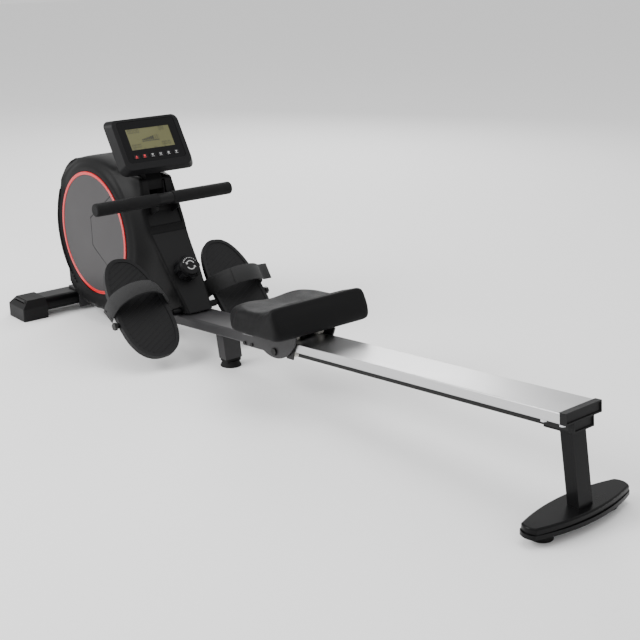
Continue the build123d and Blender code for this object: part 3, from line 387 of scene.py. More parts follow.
MATERIALS = {
    "housing": surface("housing_plastic", (0.0040, 0.0040, 0.0042), 0.47, bump=0.3, worn=0.05,
                       specular=0.11),
    "cover": surface("cover_plastic", (0.0058, 0.0058, 0.0061), 0.47, grain=1900, bump=0.3, specular=0.16),
    "disc": surface("disc_plastic", (0.039, 0.0368, 0.038), 0.44, grain=1700, bump=0.18, variation=0.05,
                    specular=0.22),
    "ring": surface("ring_red", (0.50, 0.0045, 0.009), 0.30, grain=700, bump=0.04, coat=0.2,
                    variation=0.05),
    "console": surface("console_plastic", (0.0048, 0.0048, 0.0053), 0.44, grain=1900, bump=0.25, worn=0.05,
                       specular=0.14),
    "fascia": surface("fascia_gloss", (0.0025, 0.0025, 0.003), 0.10, grain=60, bump=0.02, coat=0.12,
                      variation=0.05, specular=0.12),
    "lcd": surface("lcd_glass", (0.104, 0.102, 0.036), 0.24, grain=2400, bump=0.03, coat=0.15,
                   variation=0.05),
    "segment": surface("lcd_segment", (0.006, 0.0066, 0.004), 0.35, grain=900, bump=0.05),
    "ghost": surface("lcd_ghost_segment", (0.078, 0.0765, 0.027), 0.3, grain=900, bump=0.05),
    "key": surface("key_gloss", (0.004, 0.004, 0.005), 0.20, grain=300, bump=0.03, coat=0.15, specular=0.2),
    "print_white": surface("print_white", (0.40, 0.40, 0.40), 0.45, grain=2000, bump=0.05, variation=0.04),
    "print_red": surface("print_red", (0.62, 0.02, 0.03), 0.45, grain=2000, bump=0.05, variation=0.04),
    "frame_paint": surface("frame_paint", (0.022, 0.0215, 0.0225), 0.42, grain=420, bump=0.10,
                           worn=0.12, specular=0.25),
    "gloss_paint": surface("gloss_paint", (0.0030, 0.0030, 0.0033), 0.30, grain=300, bump=0.06,
                           coat=0.05, worn=0.08, specular=0.10),
    "cap": surface("cap_plastic", (0.0065, 0.0065, 0.0068), 0.52, grain=1300, bump=0.35, worn=0.08,
                   specular=0.15),
    "black_steel": surface("black_steel", (0.008, 0.008, 0.008), 0.34, grain=500, bump=0.12,
                           metal=0.3, worn=0.3, specular=0.2),
    "zinc": surface("zinc_plate", (0.62, 0.62, 0.64), 0.24, grain=350, bump=0.08, metal=1.0, variation=0.1),
    "steel": surface("turned_steel", (0.45, 0.45, 0.46), 0.28, grain=900, bump=0.1, metal=1.0,
                     stretch=(1, 0.05, 1)),
    "cast": surface("cast_iron", (0.16, 0.16, 0.165), 0.5, grain=600, bump=0.3, metal=0.8, variation=0.2),
    "rubber": surface("rubber", (0.008, 0.008, 0.008), 0.72, grain=800, bump=0.4, specular=0.15),
    "belt": surface("belt_rubber", (0.014, 0.014, 0.014), 0.6, grain=500, bump=0.3, stretch=(0.1, 1, 0.1)),
    "nylon": surface("nylon", (0.52, 0.51, 0.47), 0.38, grain=900, bump=0.12, variation=0.06),
    "pedal": surface("pedal_plastic", (0.0085, 0.0085, 0.0090), 0.52, grain=1200, bump=0.4, worn=0.08,
                     specular=0.16),
    "aluminium": brushed("brushed_aluminium", (0.56, 0.56, 0.565), 0.34, SLOPE),
    "webbing": woven("foot_webbing", (0.0135, 0.0135, 0.0140)),
    "pull_webbing": woven("pull_webbing", (0.006, 0.006, 0.0065), warp=0.0021, warp_only=True),
    "vinyl": vinyl("seat_vinyl", (0.0042, 0.0042, 0.0045)),
    "foam": foam("grip_foam", (0.0036, 0.0036, 0.0039)),
}

CAD_FINISH = {
    "frame_paint": ("main_beam", "mid_leg", "hinge_ears", "mast_plates"),
    "gloss_paint": ("stabilizer_tube", "rear_leg", "rear_base", "pedal_spindle"),
    "cap": ("stabilizer_caps", "rail_end_cap"),
    "black_steel": ("frame_bolts", "hinge_bolt", "rail_tube", "seat_carriage"),
    "rubber": ("mid_foot", "rear_feet", "resistance_cable"),
    "cover": ("rear_cover_lower", "rear_cover_upper", "console_neck", "strap_bracket"),
    "housing": ("housing_left", "housing_right"),
    "disc": ("side_disc_left", "side_disc_right"),
    "ring": ("side_ring_left", "side_ring_right"),
    "steel": ("axles", "recoil_spring", "handle_bar", "carriage_axles"),
    "cast": ("flywheel", "magnet_yoke"),
    "nylon": ("drive_pulley", "strap_reel", "guide_roller", "rollers_front", "rollers_rear",
              "rollers_lower"),
    "belt": ("drive_belt",),
    "console": ("console_back", "console_front", "resistance_knob"),
    "fascia": ("console_fascia",),
    "lcd": ("lcd_panel",),
    "key": tuple(f"key_{number}" for number in range(1, 7)),
    "foam": ("hand_grips",),
    "pedal": ("footplate_left", "footplate_right"),
    "webbing": ("foot_strap_left", "foot_strap_right"),
    "pull_webbing": ("pull_strap",),
    "aluminium": ("rail_profile",),
    "zinc": ("leg_bolts",),
    "vinyl": ("seat_pad",),
}


def finish_cad_nodes():
    """Give every carried-over CAD node its material."""
    for finish, names in CAD_FINISH.items():
        for name in names:
            slots = NODES[name].data.materials
            slots.clear()
            slots.append(MATERIALS[finish])


finish_cad_nodes()


# ---------------------------------------------------------------- mesh helpers
def sharpen(piece, angle=35.0):
    """Smooth shading with crisp edges where two faces meet at more than the angle."""
    mesh = piece.data
    work = bmesh.new()
    work.from_mesh(mesh)
    limit = radians(angle)
    for face in work.faces:
        face.smooth = True
    for edge in work.edges:
        edge.smooth = len(edge.link_faces) == 2 and edge.calc_face_angle(0.0) < limit
    work.to_mesh(mesh)
    work.free()


def new_piece(name, points, faces, finish=None, angle=35.0):
    """Mesh object from points and faces."""
    mesh = bpy.data.meshes.new(name)
    mesh.from_pydata([tuple(point) for point in points], [], faces)
    mesh.validate()
    piece = bpy.data.objects.new(name, mesh)
    bpy.context.scene.collection.objects.link(piece)
    if finish:
        mesh.materials.append(MATERIALS[finish])
    sharpen(piece, angle)
    return piece


def add_uv(piece, coordinates):
    """Store one UV pair per vertex."""
    layer = piece.data.uv_layers.new(name="uv")
    for loop in piece.data.loops:
        layer.data[loop.index].uv = coordinates[loop.vertex_index]


def settle_piece(piece, body, slot, *replaced):
    """Put a piece on the body it rides on and hide the CAD nodes that it stands for; the slot argument is
    not used.
    """
    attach(piece, body)
    if replaced:
        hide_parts(*replaced)
    return piece


def only(piece):
    """Make one object the active and only selected one."""
    bpy.ops.object.select_all(action="DESELECT")
    piece.select_set(True)
    bpy.context.view_layer.objects.active = piece


def apply_modifiers(piece):
    only(piece)
    for modifier in list(piece.modifiers):
        bpy.ops.object.modifier_apply(modifier=modifier.name)


def remesh(piece, voxel):
    modifier = piece.modifiers.new("Remesh", "REMESH")
    modifier.mode = "VOXEL"
    modifier.voxel_size = voxel
    apply_modifiers(piece)


def read_points(mesh):
    points = np.empty(len(mesh.vertices) * 3)
    mesh.vertices.foreach_get("co", points)
    return points.reshape(-1, 3)


def write_points(mesh, points):
    mesh.vertices.foreach_set("co", points.astype(np.float32).ravel())
    mesh.update()


def slope_of(field, points, step=0.0004):
    """Gradient of a field at many points."""
    columns = []
    for axis in range(3):
        shift = np.zeros(3)
        shift[axis] = step
        columns.append((field(points + shift) - field(points - shift)) / (2 * step))
    return np.stack(columns, 1)


def fit_to_field(piece, field, rounds=12, relax=0.45, reach=0.005):
    """Move a mesh's points onto the surface where the field is zero, keeping them evenly spread."""
    mesh = piece.data
    points = read_points(mesh)
    edges = np.empty(len(mesh.edges) * 2, dtype=np.int64)
    mesh.edges.foreach_get("vertices", edges)
    edges = edges.reshape(-1, 2)
    count = np.bincount(edges.ravel(), minlength=len(points)).astype(float)[:, None]
    for number in range(rounds):
        slope = slope_of(field, points)
        size = np.maximum((slope**2).sum(1), 1e-6)
        step = field(points) / size
        move = -step[:, None] * slope
        length = np.linalg.norm(move, axis=1)
        move *= np.minimum(1.0, reach / np.maximum(length, 1e-9))[:, None]
        points = points + move
        if number < rounds - 3:
            total = np.zeros_like(points)
            np.add.at(total, edges[:, 0], points[edges[:, 1]])
            np.add.at(total, edges[:, 1], points[edges[:, 0]])
            drift = total / count - points
            normal = slope / np.sqrt(size)[:, None]
            drift -= (drift * normal).sum(1)[:, None] * normal
            points = points + relax * drift
    write_points(mesh, points)


def smooth_max(first, second, width):
    """Larger of two fields, rounded over a width."""
    share = np.clip(0.5 + 0.5 * (first - second) / width, 0, 1)
    return second + (first - second) * share + width * share * (1 - share)


def smooth_min(first, second, width):
    return -smooth_max(-first, -second, width)


def block(low, high, matrix=None):
    """Points and faces of a block, placed by a matrix."""
    corners = [(x, y, z) for x in (low[0], high[0]) for y in (low[1], high[1]) for z in (low[2], high[2])]
    if matrix is not None:
        corners = [matrix @ Vector(corner) for corner in corners]
    faces = [(0, 1, 3, 2), (4, 6, 7, 5), (0, 4, 5, 1), (2, 3, 7, 6), (0, 2, 6, 4), (1, 5, 7, 3)]
    return corners, faces


def prism(outline, low, high, matrix=None):
    """Points and faces of a plate: an outline in local x and y, between two local z."""
    count = len(outline)
    points = [Vector((x, y, low)) for x, y in outline] + [Vector((x, y, high)) for x, y in outline]
    if matrix is not None:
        points = [matrix @ point for point in points]
    faces = [tuple(reversed(range(count))), tuple(range(count, 2 * count))]
    faces += [(i, (i + 1) % count, count + (i + 1) % count, count + i) for i in range(count)]
    return points, faces


def join_shapes(shapes):
    """One list of points and faces from several."""
    points = []
    faces = []
    for shape_points, shape_faces in shapes:
        offset = len(points)
        points.extend(shape_points)
        faces.extend(tuple(index + offset for index in face) for face in shape_faces)
    return points, faces


def ring_outline(radius, segments=96):
    angles = [2 * pi * i / segments for i in range(segments)]
    return [(radius * cos(angle), radius * sin(angle)) for angle in angles]


def sector(inner, outer, start, end, low, high, matrix, steps=24):
    """Flat plate in the shape of a part of a ring, between two angles in degrees."""
    angles = [radians(start + (end - start) * i / steps) for i in range(steps + 1)]
    outline = [(outer * cos(a), outer * sin(a)) for a in angles]
    outline += [(inner * cos(a), inner * sin(a)) for a in reversed(angles)]
    return prism(outline, low, high, matrix)


# ---------------------------------------------------------------- housing
def drum_field(points):
    """Crowned drum: negative inside."""
    x = points[:, 0] - STATION_ZERO - DRUM_STATION
    z = points[:, 2] - DRUM_Z
    y = np.abs(points[:, 1])
    crown = DRUM_CROWN_R - DRUM_RIM_DROP * np.clip(y / DRUM_HALF_WIDTH, 0, 1.1) ** 6
    return smooth_max((np.hypot(x, z) - crown) * 0.85, y - DRUM_HALF_WIDTH, 0.006)


def tower_field(points):
    """Wedge that narrows rearward from the drum: negative inside."""
    x = points[:, 0] - STATION_ZERO
    y = np.abs(points[:, 1])
    z = points[:, 2]
    rear = np.interp(z, TOWER_HEIGHTS, TOWER_REARS)
    half = np.interp(z, TOWER_HEIGHTS, TOWER_HALVES)
    front_half = np.interp(z, (0.352, TOWER_HEIGHTS[-1]), (TOWER_FRONT_HALF, TOWER_FRONT_HALF_TOP))
    share = np.clip((rear - x) / (rear - TOWER_FRONT_STATION), -0.2, 1.3)
    side = y - (half + (front_half - half) * share)
    back = (x - rear) * 0.82
    ends = smooth_max(z - TOWER_HEIGHTS[-1], 0.05 - z, 0.01)
    return smooth_max(smooth_max(side, back, EDGE_ROUND), ends, EDGE_ROUND)


def housing_field(points):
    """Drum and tower with a soft blend between them, kept off the flat sides of the drum."""
    radius = np.hypot(points[:, 0] - STATION_ZERO - DRUM_STATION, points[:, 2] - DRUM_Z)
    width = 0.001 + BLEND_WIDTH * np.clip((radius - 0.176) / 0.03, 0, 1)
    return smooth_min(drum_field(points), tower_field(points), width)


def rough_housing(voxel):
    """Closed rough body near the housing's surface."""
    spine = axes_frame(at(DRUM_STATION, 0, DRUM_Z), (1, 0, 0), (0, -1, 0))
    drum = prism(ring_outline(0.195), -0.083, 0.083, spine)
    levels = list(zip(TOWER_HEIGHTS, TOWER_REARS, TOWER_HALVES))
    points = []
    for z, rear, half in levels:
        front_half = TOWER_FRONT_HALF if z < 0.4 else TOWER_FRONT_HALF_TOP
        points += [at(0.25, -front_half, z), at(rear, -half, z), at(rear, half, z), at(0.25, front_half, z)]
    faces = [(3, 2, 1, 0), tuple(range(len(points) - 4, len(points)))]
    for level in range(len(levels) - 1):
        for side in range(4):
            first = 4 * level + side
            second = 4 * level + (side + 1) % 4
            faces.append((first, second, second + 4, first + 4))
    piece = new_piece("housing_body", *join_shapes([drum, (points, faces)]))
    remesh(piece, voxel)
    return piece


def add_inner_wall(piece, thickness):
    """Turn a closed surface into a hollow shell."""
    mesh = piece.data
    mesh.update()
    points = read_points(mesh)
    normals = np.array([vertex.normal for vertex in mesh.vertices])
    count = len(points)
    faces = [tuple(polygon.vertices) for polygon in mesh.polygons]
    inner = [tuple(reversed([index + count for index in face])) for face in faces]
    shell = bpy.data.meshes.new(piece.name)
    both = np.concatenate([points, points - thickness * normals])
    shell.from_pydata(both.tolist(), [], faces + inner)
    piece.data = shell


def housing_cutters():
    """Everything that is open in the housing: recesses, windows, underside and centre seam."""
    spine = axes_frame(at(DRUM_STATION, 0, DRUM_Z), (1, 0, 0), (0, -1, 0))
    shapes = []
    for side in (-1, 1):
        low, high = sorted((side * (DRUM_HALF_WIDTH - RING_RECESS), side * (DRUM_HALF_WIDTH + 0.01)))
        shapes.append(prism(ring_outline(RING_OUTER_R + 0.0004, 160), low, high, spine))
    shapes.append(block((-0.98, -0.0515, -0.26), (0.2, 0.0515, -0.0054), RAIL))
    shapes.append(block((-0.56, -0.13, -0.26), (0.2, 0.13, -0.001), RAIL))
    lower = [(-0.0334, 0.0056), (0.0334, 0.0056), (0.0449, 0.119), (0.0519, 0.2364),
             (-0.0519, 0.2364), (-0.0449, 0.119)]
    shapes.append(prism(lower, -0.02, 0.03, COVER_FACE))
    upper = [(-0.0504, 0.3176), (0.0504, 0.3176), (0.0434, 0.4304), (-0.0434, 0.4304)]
    shapes.append(prism(upper, 0.3715, 0.44, UPPER_FACE))
    base = Matrix.Translation(at(0))
    shapes.append(block((0.328, -0.036, 0.4305), (0.3835, 0.036, 0.5), base))
    shapes.append(prism(ring_outline(0.0105, 32), -0.2, 0.2,
                        axes_frame(at(SPINDLE_STATION, 0, SPINDLE_Z), (1, 0, 0), (0, -1, 0))))
    shapes.append(block((-0.1, -0.00015, 0.0), (0.9, 0.00015, 0.6), base))
    return [new_piece(f"cutter_{index}", *shape) for index, shape in enumerate(shapes)]


def cut_away(piece, cutters):
    """Boolean difference with a group of cutters, which are then removed."""
    group = bpy.data.collections.new("cutters")
    bpy.context.scene.collection.children.link(group)
    for cutter in cutters:
        bpy.context.scene.collection.objects.unlink(cutter)
        group.objects.link(cutter)
    modifier = piece.modifiers.new("Cut", "BOOLEAN")
    modifier.operation = "DIFFERENCE"
    modifier.operand_type = "COLLECTION"
    modifier.collection = group
    modifier.solver = "EXACT"
    apply_modifiers(piece)
    for cutter in cutters:
        bpy.data.objects.remove(cutter)
    bpy.data.collections.remove(group)


def keep_side(source, side, name):
    """Copy of a piece with only what lies on one side of the centre plane."""
    mesh = source.data.copy()
    work = bmesh.new()
    work.from_mesh(mesh)
    away = [vertex for vertex in work.verts if vertex.co.y * side < 0]
    bmesh.ops.delete(work, geom=away, context="VERTS")
    work.to_mesh(mesh)
    work.free()
    piece = bpy.data.objects.new(name, mesh)
    bpy.context.scene.collection.objects.link(piece)
    mesh.materials.clear()
    mesh.materials.append(MATERIALS["housing"])
    sharpen(piece, 32)
    return piece


def make_housing():
    """Left and right shells of the drum and tower housing."""
    body = rough_housing(HOUSING_VOXEL)
    fit_to_field(body, housing_field, rounds=16)
    add_inner_wall(body, WALL)
    cut_away(body, housing_cutters())
    left = keep_side(body, -1, "housing_shell_left")
    right = keep_side(body, 1, "housing_shell_right")
    bpy.data.objects.remove(body)
    settle_piece(left, "frame", "housing_plastic", "housing_left")
    settle_piece(right, "frame", "housing_plastic", "housing_right")


make_housing()


# ---------------------------------------------------------------- disc grooves, with painted shade
DISC_GROOVE = ((0.104, 0.121), (-0.008, 0.0437), (-0.006, -0.033), (0.0095, -0.0447), (0.119, -0.108))


def make_painted_groove_shade():
    """Dark strip along the moulded groove of each side disc: painted shade in the groove."""
    for side, label in ((-1, "left"), (1, "right")):
        face = side * (DRUM_HALF_WIDTH + DISC_PROUD)
        low, high = sorted((face - side * 0.0009, face - side * 0.0001))
        shapes = []
        for (x0, z0), (x1, z1) in zip(DISC_GROOVE, DISC_GROOVE[1:]):
            middle = at(DRUM_STATION + (x0 + x1) / 2, 0, DRUM_Z + (z0 + z1) / 2)
            along = Vector((x1 - x0, 0, z1 - z0))
            half = along.length / 2 + 0.0014
            place = axes_frame(middle, along, (0, 1, 0))
            shapes.append(block((-half, -GROOVE_HALF_WIDTH, low), (half, GROOVE_HALF_WIDTH, high), place))
        # The dark strip is painted shade along the groove's floor.
        line = new_piece(f"groove_shade_strip_{label}", *join_shapes(shapes), "cover")
        settle_piece(line, "frame", "disc_plastic")


make_painted_groove_shade()


# ---------------------------------------------------------------- seat
def seat_under(x):
    """Height of the seat's underside, which turns up at the nose."""
    return np.maximum(SEAT_UNDER + (x - HINGE_STATION) * np.tan(SLOPE), 0.187 - (x - SEAT_FRONT) * 0.4)


def seat_field(points):
    """Seat pad: narrow nose, dished top, tall rear lip; negative inside."""
    x = points[:, 0] - STATION_ZERO
    y = np.abs(points[:, 1])
    z = points[:, 2]
    half = np.interp(x, (SEAT_FRONT, SEAT_FRONT + 0.07, SEAT_REAR), (0.110, 0.136, 0.141))
    top = np.interp(x, (0.838, 0.87, 0.93, 0.96, 0.985, 1.01, 1.03, 1.043),
                    (0.213, 0.221, 0.223, 0.226, 0.231, 0.241, 0.254, 0.262))
    lip = np.clip((x - 0.97) / 0.06, 0, 1)
    dish = 0.006 * np.exp(-(y / 0.055) ** 2) * (1 - lip)
    rear = (x - SEAT_REAR) * 0.883 + (z - 0.206) * 0.467
    nose = (SEAT_FRONT - x) * 0.96 + (0.205 - z) * 0.28
    plan = smooth_max(y - half, SEAT_FRONT - x, 0.05)
    plan = smooth_max(plan, x - SEAT_REAR, 0.02)
    shape = smooth_max(plan, (z - top + dish) * 0.95, 0.022)
    shape = smooth_max(shape, nose, 0.02)
    shape = smooth_max(shape, rear, 0.0035)
    return smooth_max(shape, seat_under(x) - z, 0.012)


def inflate(piece, cap, held, pressure=4.0, frames=20):
    """Swell a closed pad by cloth simulation, with some points held, and apply the result."""
    before = read_points(piece.data)
    group = piece.vertex_groups.new(name="held")
    group.add([int(index) for index in np.nonzero(held)[0]], 1.0, "REPLACE")
    modifier = piece.modifiers.new("Cloth", "CLOTH")
    settings = modifier.settings
    settings.use_pressure = True
    settings.uniform_pressure_force = pressure
    settings.vertex_group_mass = "held"
    settings.effector_weights.gravity = 0
    settings.tension_stiffness = 20
    settings.compression_stiffness = 20
    settings.bending_stiffness = 2.0
    scene = bpy.context.scene
    for number in range(1, frames + 1):
        scene.frame_set(number)
    evaluated = piece.evaluated_get(bpy.context.evaluated_depsgraph_get())
    after = read_points(evaluated.data)
    piece.modifiers.remove(modifier)
    piece.vertex_groups.remove(group)
    scene.frame_set(1)
    move = after - before
    length = np.linalg.norm(move, axis=1)
    move *= np.minimum(1.0, cap / np.maximum(length, 1e-9))[:, None]
    write_points(piece.data, before + move)


def seat_seam(points):
    """True near the sewn lines: the lip's crest and the lower edge."""
    x = points[:, 0] - STATION_ZERO
    crest = (np.abs(x - 1.045) < 0.006) & (points[:, 2] > 0.235)
    return crest | (points[:, 2] < seat_under(x) + 0.006)


def make_seat():
    """Upholstered pad, swelled by cloth simulation."""
    piece = bpy.data.objects.new("seat_cushion", NODES["seat_pad"].data.copy())
    bpy.context.scene.collection.objects.link(piece)
    remesh(piece, SEAT_VOXEL)
    fit_to_field(piece, seat_field, rounds=14)
    inflate(piece, SEAT_SWELL, seat_seam(read_points(piece.data)))
    soften = piece.modifiers.new("Soften", "SMOOTH")
    soften.factor = 0.5
    soften.iterations = 2
    divide = piece.modifiers.new("Divide", "SUBSURF")
    divide.levels = 1
    divide.render_levels = 1
    apply_modifiers(piece)
    piece.data.materials.clear()
    piece.data.materials.append(MATERIALS["vinyl"])
    sharpen(piece, 60)
    settle_piece(piece, "seat", "seat_vinyl", "seat_pad")


make_seat()


# ---------------------------------------------------------------- straps
def band(name, line, normals, width, thickness, finish, cross):
    """Strap along a line of points: local across direction, rounded edges, UV in metres."""
    profile = [(-0.5, 0.0), (-0.47, 0.5), (0.47, 0.5), (0.5, 0.0), (0.47, -0.5), (-0.47, -0.5)]
    points = []
    coordinates = []
    run = 0.0
    for index, (place, normal) in enumerate(zip(line, normals)):
        if index:
            run += (place - line[index - 1]).length
        for across, out in profile:
            points.append(place + cross * (across * width) + normal * (out * thickness))
            coordinates.append((run, across * width))
    size = len(profile)
    faces = []
    for index in range(len(line) - 1):
        for corner in range(size):
            first = index * size + corner
            second = index * size + (corner + 1) % size
            faces.append((first, second, second + size, first + size))
    faces.append(tuple(reversed(range(size))))
    faces.append(tuple(range(len(points) - size, len(points))))
    piece = new_piece(name, points, faces, finish, 50)
    work = bmesh.new()
    work.from_mesh(piece.data)
    bmesh.ops.recalc_face_normals(work, faces=work.faces)
    work.to_mesh(piece.data)
    work.free()
    add_uv(piece, coordinates)
    return piece


def arch_line(half, rise, base, start, end, drop, steps=48):
    """Points of a half ellipse between two angles in degrees, with straight ends going down."""
    points = []
    normals = []
    if start <= 0:
        points += [Vector((0, half, base - drop * share)) for share in (1.0, 0.66, 0.33)]
        normals += [Vector((0, 1, 0))] * 3
    for index in range(steps + 1):
        angle = radians(start + (end - start) * index / steps)
        points.append(Vector((0, half * cos(angle), base + rise * sin(angle))))
        normals.append(Vector((0, rise * cos(angle), half * sin(angle))).normalized())
    if end >= 180:
        points += [Vector((0, -half, base - drop * share)) for share in (0.33, 0.66, 1.0)]
        normals += [Vector((0, -1, 0))] * 3
    return points, normals


def place_line(matrix, line, normals):
    """Move a strap's line from its local frame into the row frame."""
    turn = matrix.to_3x3()
    return [matrix @ point for point in line], [turn @ normal for normal in normals]


def loose_end(line, normals):
    """Lengthen a strap's line by a short end that hangs outward."""
    tangent = (line[-1] - line[-2]).normalized()
    reach = Vector((0, -0.94, -0.10)).normalized()
    for index in range(1, LOOSE_END_STEPS + 1):
        direction = tangent.lerp(reach, min(1.0, index / 5)).normalized()
        line.append(line[-1] + direction * LOOSE_END_STEP)
        normals.append(Vector((0, direction.z, -direction.y)))


def make_rivets(label, body, matrix, cross):
    """Two dark rivets where the strap meets each wall of the footplate."""
    rivets = []
    for wall in (-1, 1):
        for offset in (-RIVET_SPACING, RIVET_SPACING):
            origin = matrix @ Vector((offset, wall * (FOOT_STRAP_HALF + 0.0012), -0.013))
            place = axes_frame(origin, cross, (0, -wall, 0))
            rivets.append(dome(RIVET_RADIUS, RIVET_HEIGHT, place))
    heads = new_piece(f"strap_rivets_{label}", *join_shapes(rivets), "black_steel", 50)
    settle_piece(heads, body, "zinc")


def make_foot_strap(side, label):
    """Webbing arch over a footplate, its overlapping end and its rivets."""
    body = f"pedal_{label}"
    matrix = pedal_frame(side) @ Matrix.Translation((FOOT_STRAP_OFFSET, 0, 0))
    matrix = matrix @ Matrix.Rotation(FOOT_STRAP_LEAN[side], 4, "Y")
    cross = matrix.to_3x3() @ Vector((1, 0, 0))
    rise = FOOT_STRAP_RISE[side]
    line, normals = arch_line(FOOT_STRAP_HALF, rise, FOOT_STRAP_BASE, 0, 180, FOOT_STRAP_TUCK)
    line, normals = place_line(matrix, line, normals)
    arch = band(f"foot_strap_web_{label}", line, normals, FOOT_STRAP_WIDTH, FOOT_STRAP_THICKNESS,
                "webbing", cross)
    settle_piece(arch, body, "webbing", f"foot_strap_{label}")
    gap = FOOT_STRAP_THICKNESS + 0.0004
    start, end = (28, 118) if side < 0 else (65, 140)
    over, over_normals = arch_line(FOOT_STRAP_HALF + gap, rise + gap, FOOT_STRAP_BASE, start, end, 0.0)
    if side > 0:
        loose_end(over, over_normals)
    over, over_normals = place_line(matrix, over, over_normals)
    layer = band(f"foot_strap_end_{label}", over, over_normals, FOOT_STRAP_WIDTH - 0.001,
                 FOOT_STRAP_THICKNESS * 0.9, "webbing", cross)
    settle_piece(layer, body, "webbing")
    make_rivets(label, body, matrix, cross)


def dome(radius, height, matrix, rings=5, segments=20):
    """Low round head: points and faces."""
    points = []
    for ring in range(rings):
        angle = (pi / 2) * ring / rings
        for step in range(segments):
            turn = 2 * pi * step / segments
            points.append(matrix @ Vector((radius * cos(angle) * cos(turn),
                                           radius * cos(angle) * sin(turn), height * sin(angle))))
    points.append(matrix @ Vector((0, 0, height)))
    top = len(points) - 1
    faces = [tuple(reversed(range(segments)))]
    for ring in range(rings - 1):
        for step in range(segments):
            first = ring * segments + step
            second = ring * segments + (step + 1) % segments
            faces.append((first, second, second + segments, first + segments))
    last = (rings - 1) * segments
    faces += [(last + step, last + (step + 1) % segments, top) for step in range(segments)]
    return points, faces


def make_pull_strap():
    """Webbing from the guide roller to the handle."""
    direction = Vector((cos(SLOPE), 0, sin(SLOPE)))
    normal = Vector((-sin(SLOPE), 0, cos(SLOPE)))
    handle = at(HANDLE_STATION, 0, HANDLE_Z)
    steps = 40
    reach = (-0.050, -0.0205)
    line = [handle + direction * (reach[0] + (reach[1] - reach[0]) * i / steps) for i in range(steps + 1)]
    piece = band("pull_strap_web", line, [normal] * len(line), PULL_STRAP_WIDTH,
                 PULL_STRAP_THICKNESS, "pull_webbing", Vector((0, 1, 0)))
    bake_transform(piece)
    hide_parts("pull_strap")


make_foot_strap(-1, "left")
make_foot_strap(1, "right")
make_pull_strap()


# ---------------------------------------------------------------- knob markings
def make_knob_marks():
    """Two turning arrows inside a ring of ticks, printed on the knob's face."""
    low = KNOB_FACE + 0.00005
    high = KNOB_FACE + 0.0003
    shapes = []
    for start in (20, 200):
        shapes.append(sector(0.0104, 0.0130, start, start + 124, low, high, KNOB))
        tip = radians(start + 146)
        base_angle = radians(start + 124)
        head = [(0.0160 * cos(base_angle), 0.0160 * sin(base_angle)),
                (0.0117 * cos(tip), 0.0117 * sin(tip)),
                (0.0074 * cos(base_angle), 0.0074 * sin(base_angle))]
        shapes.append(prism(head, low, high, KNOB))
    marks = new_piece("knob_arrows", *join_shapes(shapes), "print_white")
    settle_piece(marks, "knob", "console_plastic")
    ticks = [sector(0.0196, 0.0208 + 0.00025 * index, 25 + 15 * index, 32 + 15 * index, low, high, KNOB, 4)
             for index in range(9)]
    scale = new_piece("knob_scale", *join_shapes(ticks), "print_white")
    settle_piece(scale, "knob", "console_plastic")


make_knob_marks()


# ---------------------------------------------------------------- console details
def console_plate(low, high, z0, z1):
    """Small plate on the console's face."""
    return block((low[0], low[1], z0), (high[0], high[1], z1), CONSOLE)


SEGMENT_BOXES = {
    "a": ((0.15, 0.92), (0.85, 1.0)), "g": ((0.15, 0.46), (0.85, 0.54)), "d": ((0.15, 0.0), (0.85, 0.08)),
    "f": ((0.0, 0.55), (0.13, 0.95)), "b": ((0.87, 0.55), (1.0, 0.95)),
    "e": ((0.0, 0.05), (0.13, 0.45)), "c": ((0.87, 0.05), (1.0, 0.45)),
}
DIGIT_SEGMENTS = ("abcdef", "bc", "abged", "abgcd", "fgbc", "afgcd", "afgedc", "abc", "abcdefg", "abcdfg")


def digit(number, u, v, z0, z1, lit):
    """Seven-segment digit: its lit segments, or the unlit rest."""
    shapes = []
    for name, (low, high) in SEGMENT_BOXES.items():
        if (name in DIGIT_SEGMENTS[number]) == lit:
            first = (u + low[0] * DIGIT_WIDTH, v + low[1] * DIGIT_HEIGHT)
            last = (u + high[0] * DIGIT_WIDTH, v + high[1] * DIGIT_HEIGHT)
            shapes.append(console_plate(first, last, z0, z1))
    return shapes


def make_display():
    """Digits and a bar chart under the display's glass."""
    z0, z1 = 0.00021, 0.00042
    lit = []
    ghost = []
    rows = ((-0.060, 0.030, (0, 0, 0, 0)), (0.034, 0.030, (2, 4)), (-0.060, -0.011, (0, 0, 0)),
            (0.030, -0.011, (0, 0, 0)))
    for u, v, numbers in rows:
        for index, number in enumerate(numbers):
            place = u + index * DIGIT_PITCH + (0.002 if index > 1 else 0)
            lit += digit(number, place, v, z0, z1, True)
            ghost += digit(number, place, v, z0, z1, False)
    for index in range(10):
        u = -0.026 + index * 0.0053
        height = 0.003 + 0.0011 * index
        lit.append(console_plate((u, 0.004), (u + 0.0036, 0.004 + 0.0025), z0, z1))
        target = lit if index < 7 else ghost
        target.append(console_plate((u, 0.0080), (u + 0.0036, 0.0080 + height), z0, z1))
    for index, width in enumerate((0.012, 0.009, 0.014, 0.010)):
        u = -0.060 + 0.031 * index
        ghost.append(console_plate((u, 0.0405), (u + width, 0.0412), z0, z1))
        lit.append(console_plate((u, -0.0145), (u + width * 0.6, -0.0138), z0, z1))
    settle_piece(new_piece("display_digits", *join_shapes(lit), "segment"), "frame", "display")
    settle_piece(new_piece("display_unlit", *join_shapes(ghost), "ghost"), "frame", "display")


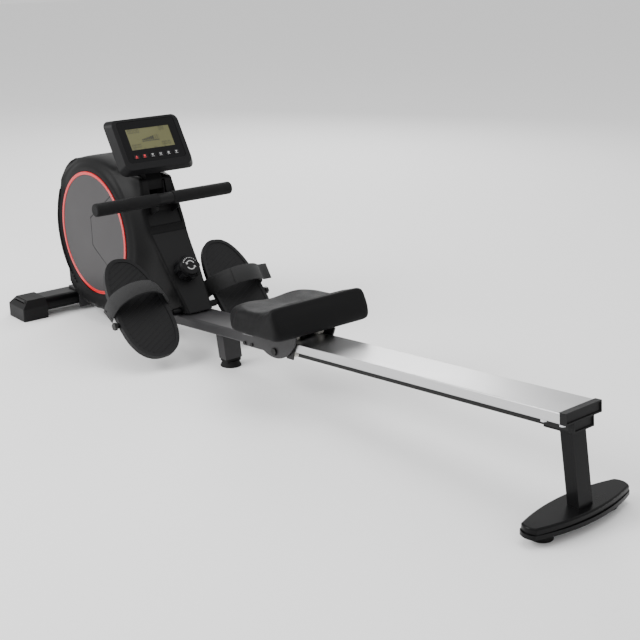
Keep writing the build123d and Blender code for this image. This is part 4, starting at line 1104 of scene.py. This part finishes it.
def key_symbols(index):
    """Simple generic marks: triangles, bars and a square."""
    triangle_up = [(-0.0026, -0.0016), (0.0026, -0.0016), (0.0, 0.0026)]
    triangle_down = [(-0.0026, 0.0020), (0.0, -0.0022), (0.0026, 0.0020)]
    bars = [[(-0.0020, -0.002), (-0.0007, -0.002), (-0.0007, 0.0022), (-0.0020, 0.0022)],
            [(0.0007, -0.002), (0.0020, -0.002), (0.0020, 0.0022), (0.0007, 0.0022)]]
    square = [[(-0.0020, -0.0018), (0.0020, -0.0018), (0.0020, 0.0022), (-0.0020, 0.0022)]]
    diamond = [[(0, -0.0024), (0.0026, 0.0002), (0, 0.0028), (-0.0026, 0.0002)]]
    return ([triangle_up], square, [triangle_down], bars, diamond, [triangle_down])[index]


def make_key_marks():
    """A mark on each key and a line under it, red on the first two and white on the rest."""
    for index in range(6):
        u = FIRST_KEY_U + KEY_PITCH * index
        place = CONSOLE @ Matrix.Translation((u, KEY_V + 0.001, KEY_TOP))
        larger = place @ Matrix.Diagonal((KEY_MARK_SCALE, KEY_MARK_SCALE, 1, 1))
        marks = [prism(outline, PRINT_LOW, PRINT_HIGH, larger) for outline in key_symbols(index)]
        finish = "print_red" if index < 2 else "print_white"
        mark = new_piece(f"key_mark_{index + 1}", *join_shapes(marks), finish)
        settle_piece(mark, f"key_{index + 1}", "key_gloss")
        line = block((-0.0045, -0.0049, PRINT_LOW), (0.0045, -0.0041, PRINT_HIGH), place)
        underline = new_piece(f"key_line_{index + 1}", *line, finish)
        settle_piece(underline, f"key_{index + 1}", "key_gloss")


make_display()
make_key_marks()


# ---------------------------------------------------------------- floor and light
def add_floor():
    """Plain pale floor under the machine."""
    size = 14.0
    floor = new_piece("floor", [(-size, -size, 0), (size, -size, 0), (size, size, 0), (-size, size, 0)],
                      [(0, 1, 2, 3)])
    g = Graph("floor_pale")
    g.shader.inputs["Base Color"].default_value = (0.93, 0.93, 0.93, 1)
    g.shader.inputs["Roughness"].default_value = 0.7
    g.shader.inputs["Specular IOR Level"].default_value = 0.2
    floor.data.materials.append(g.material)


def add_light(name, place, target, size, power):
    data = bpy.data.lights.new(name, "AREA")
    data.shape = "RECTANGLE"
    data.size, data.size_y = size
    data.energy = power
    light = bpy.data.objects.new(name, data)
    direction = Vector(target) - Vector(place)
    light.matrix_world = Matrix.Translation(place) @ direction.to_track_quat("-Z", "Y").to_matrix().to_4x4()
    bpy.context.scene.collection.objects.link(light)


def add_world(strength):
    world = bpy.data.worlds.new("studio")
    world.use_nodes = True
    background = world.node_tree.nodes["Background"]
    background.inputs["Color"].default_value = (1, 1, 1, 1)
    background.inputs["Strength"].default_value = strength
    bpy.context.scene.world = world


add_floor()
add_world(0.95)
add_light("key", (-1.4, -3.2, 2.6), (0, 0, 0.2), (2.4, 2.0), 190)
add_light("top", (0.2, 0.6, 3.4), (0, 0, 0.1), (3.0, 2.4), 52)
add_light("rim", (-2.6, 2.4, 1.8), (-0.6, 0, 0.3), (1.4, 1.4), 40)
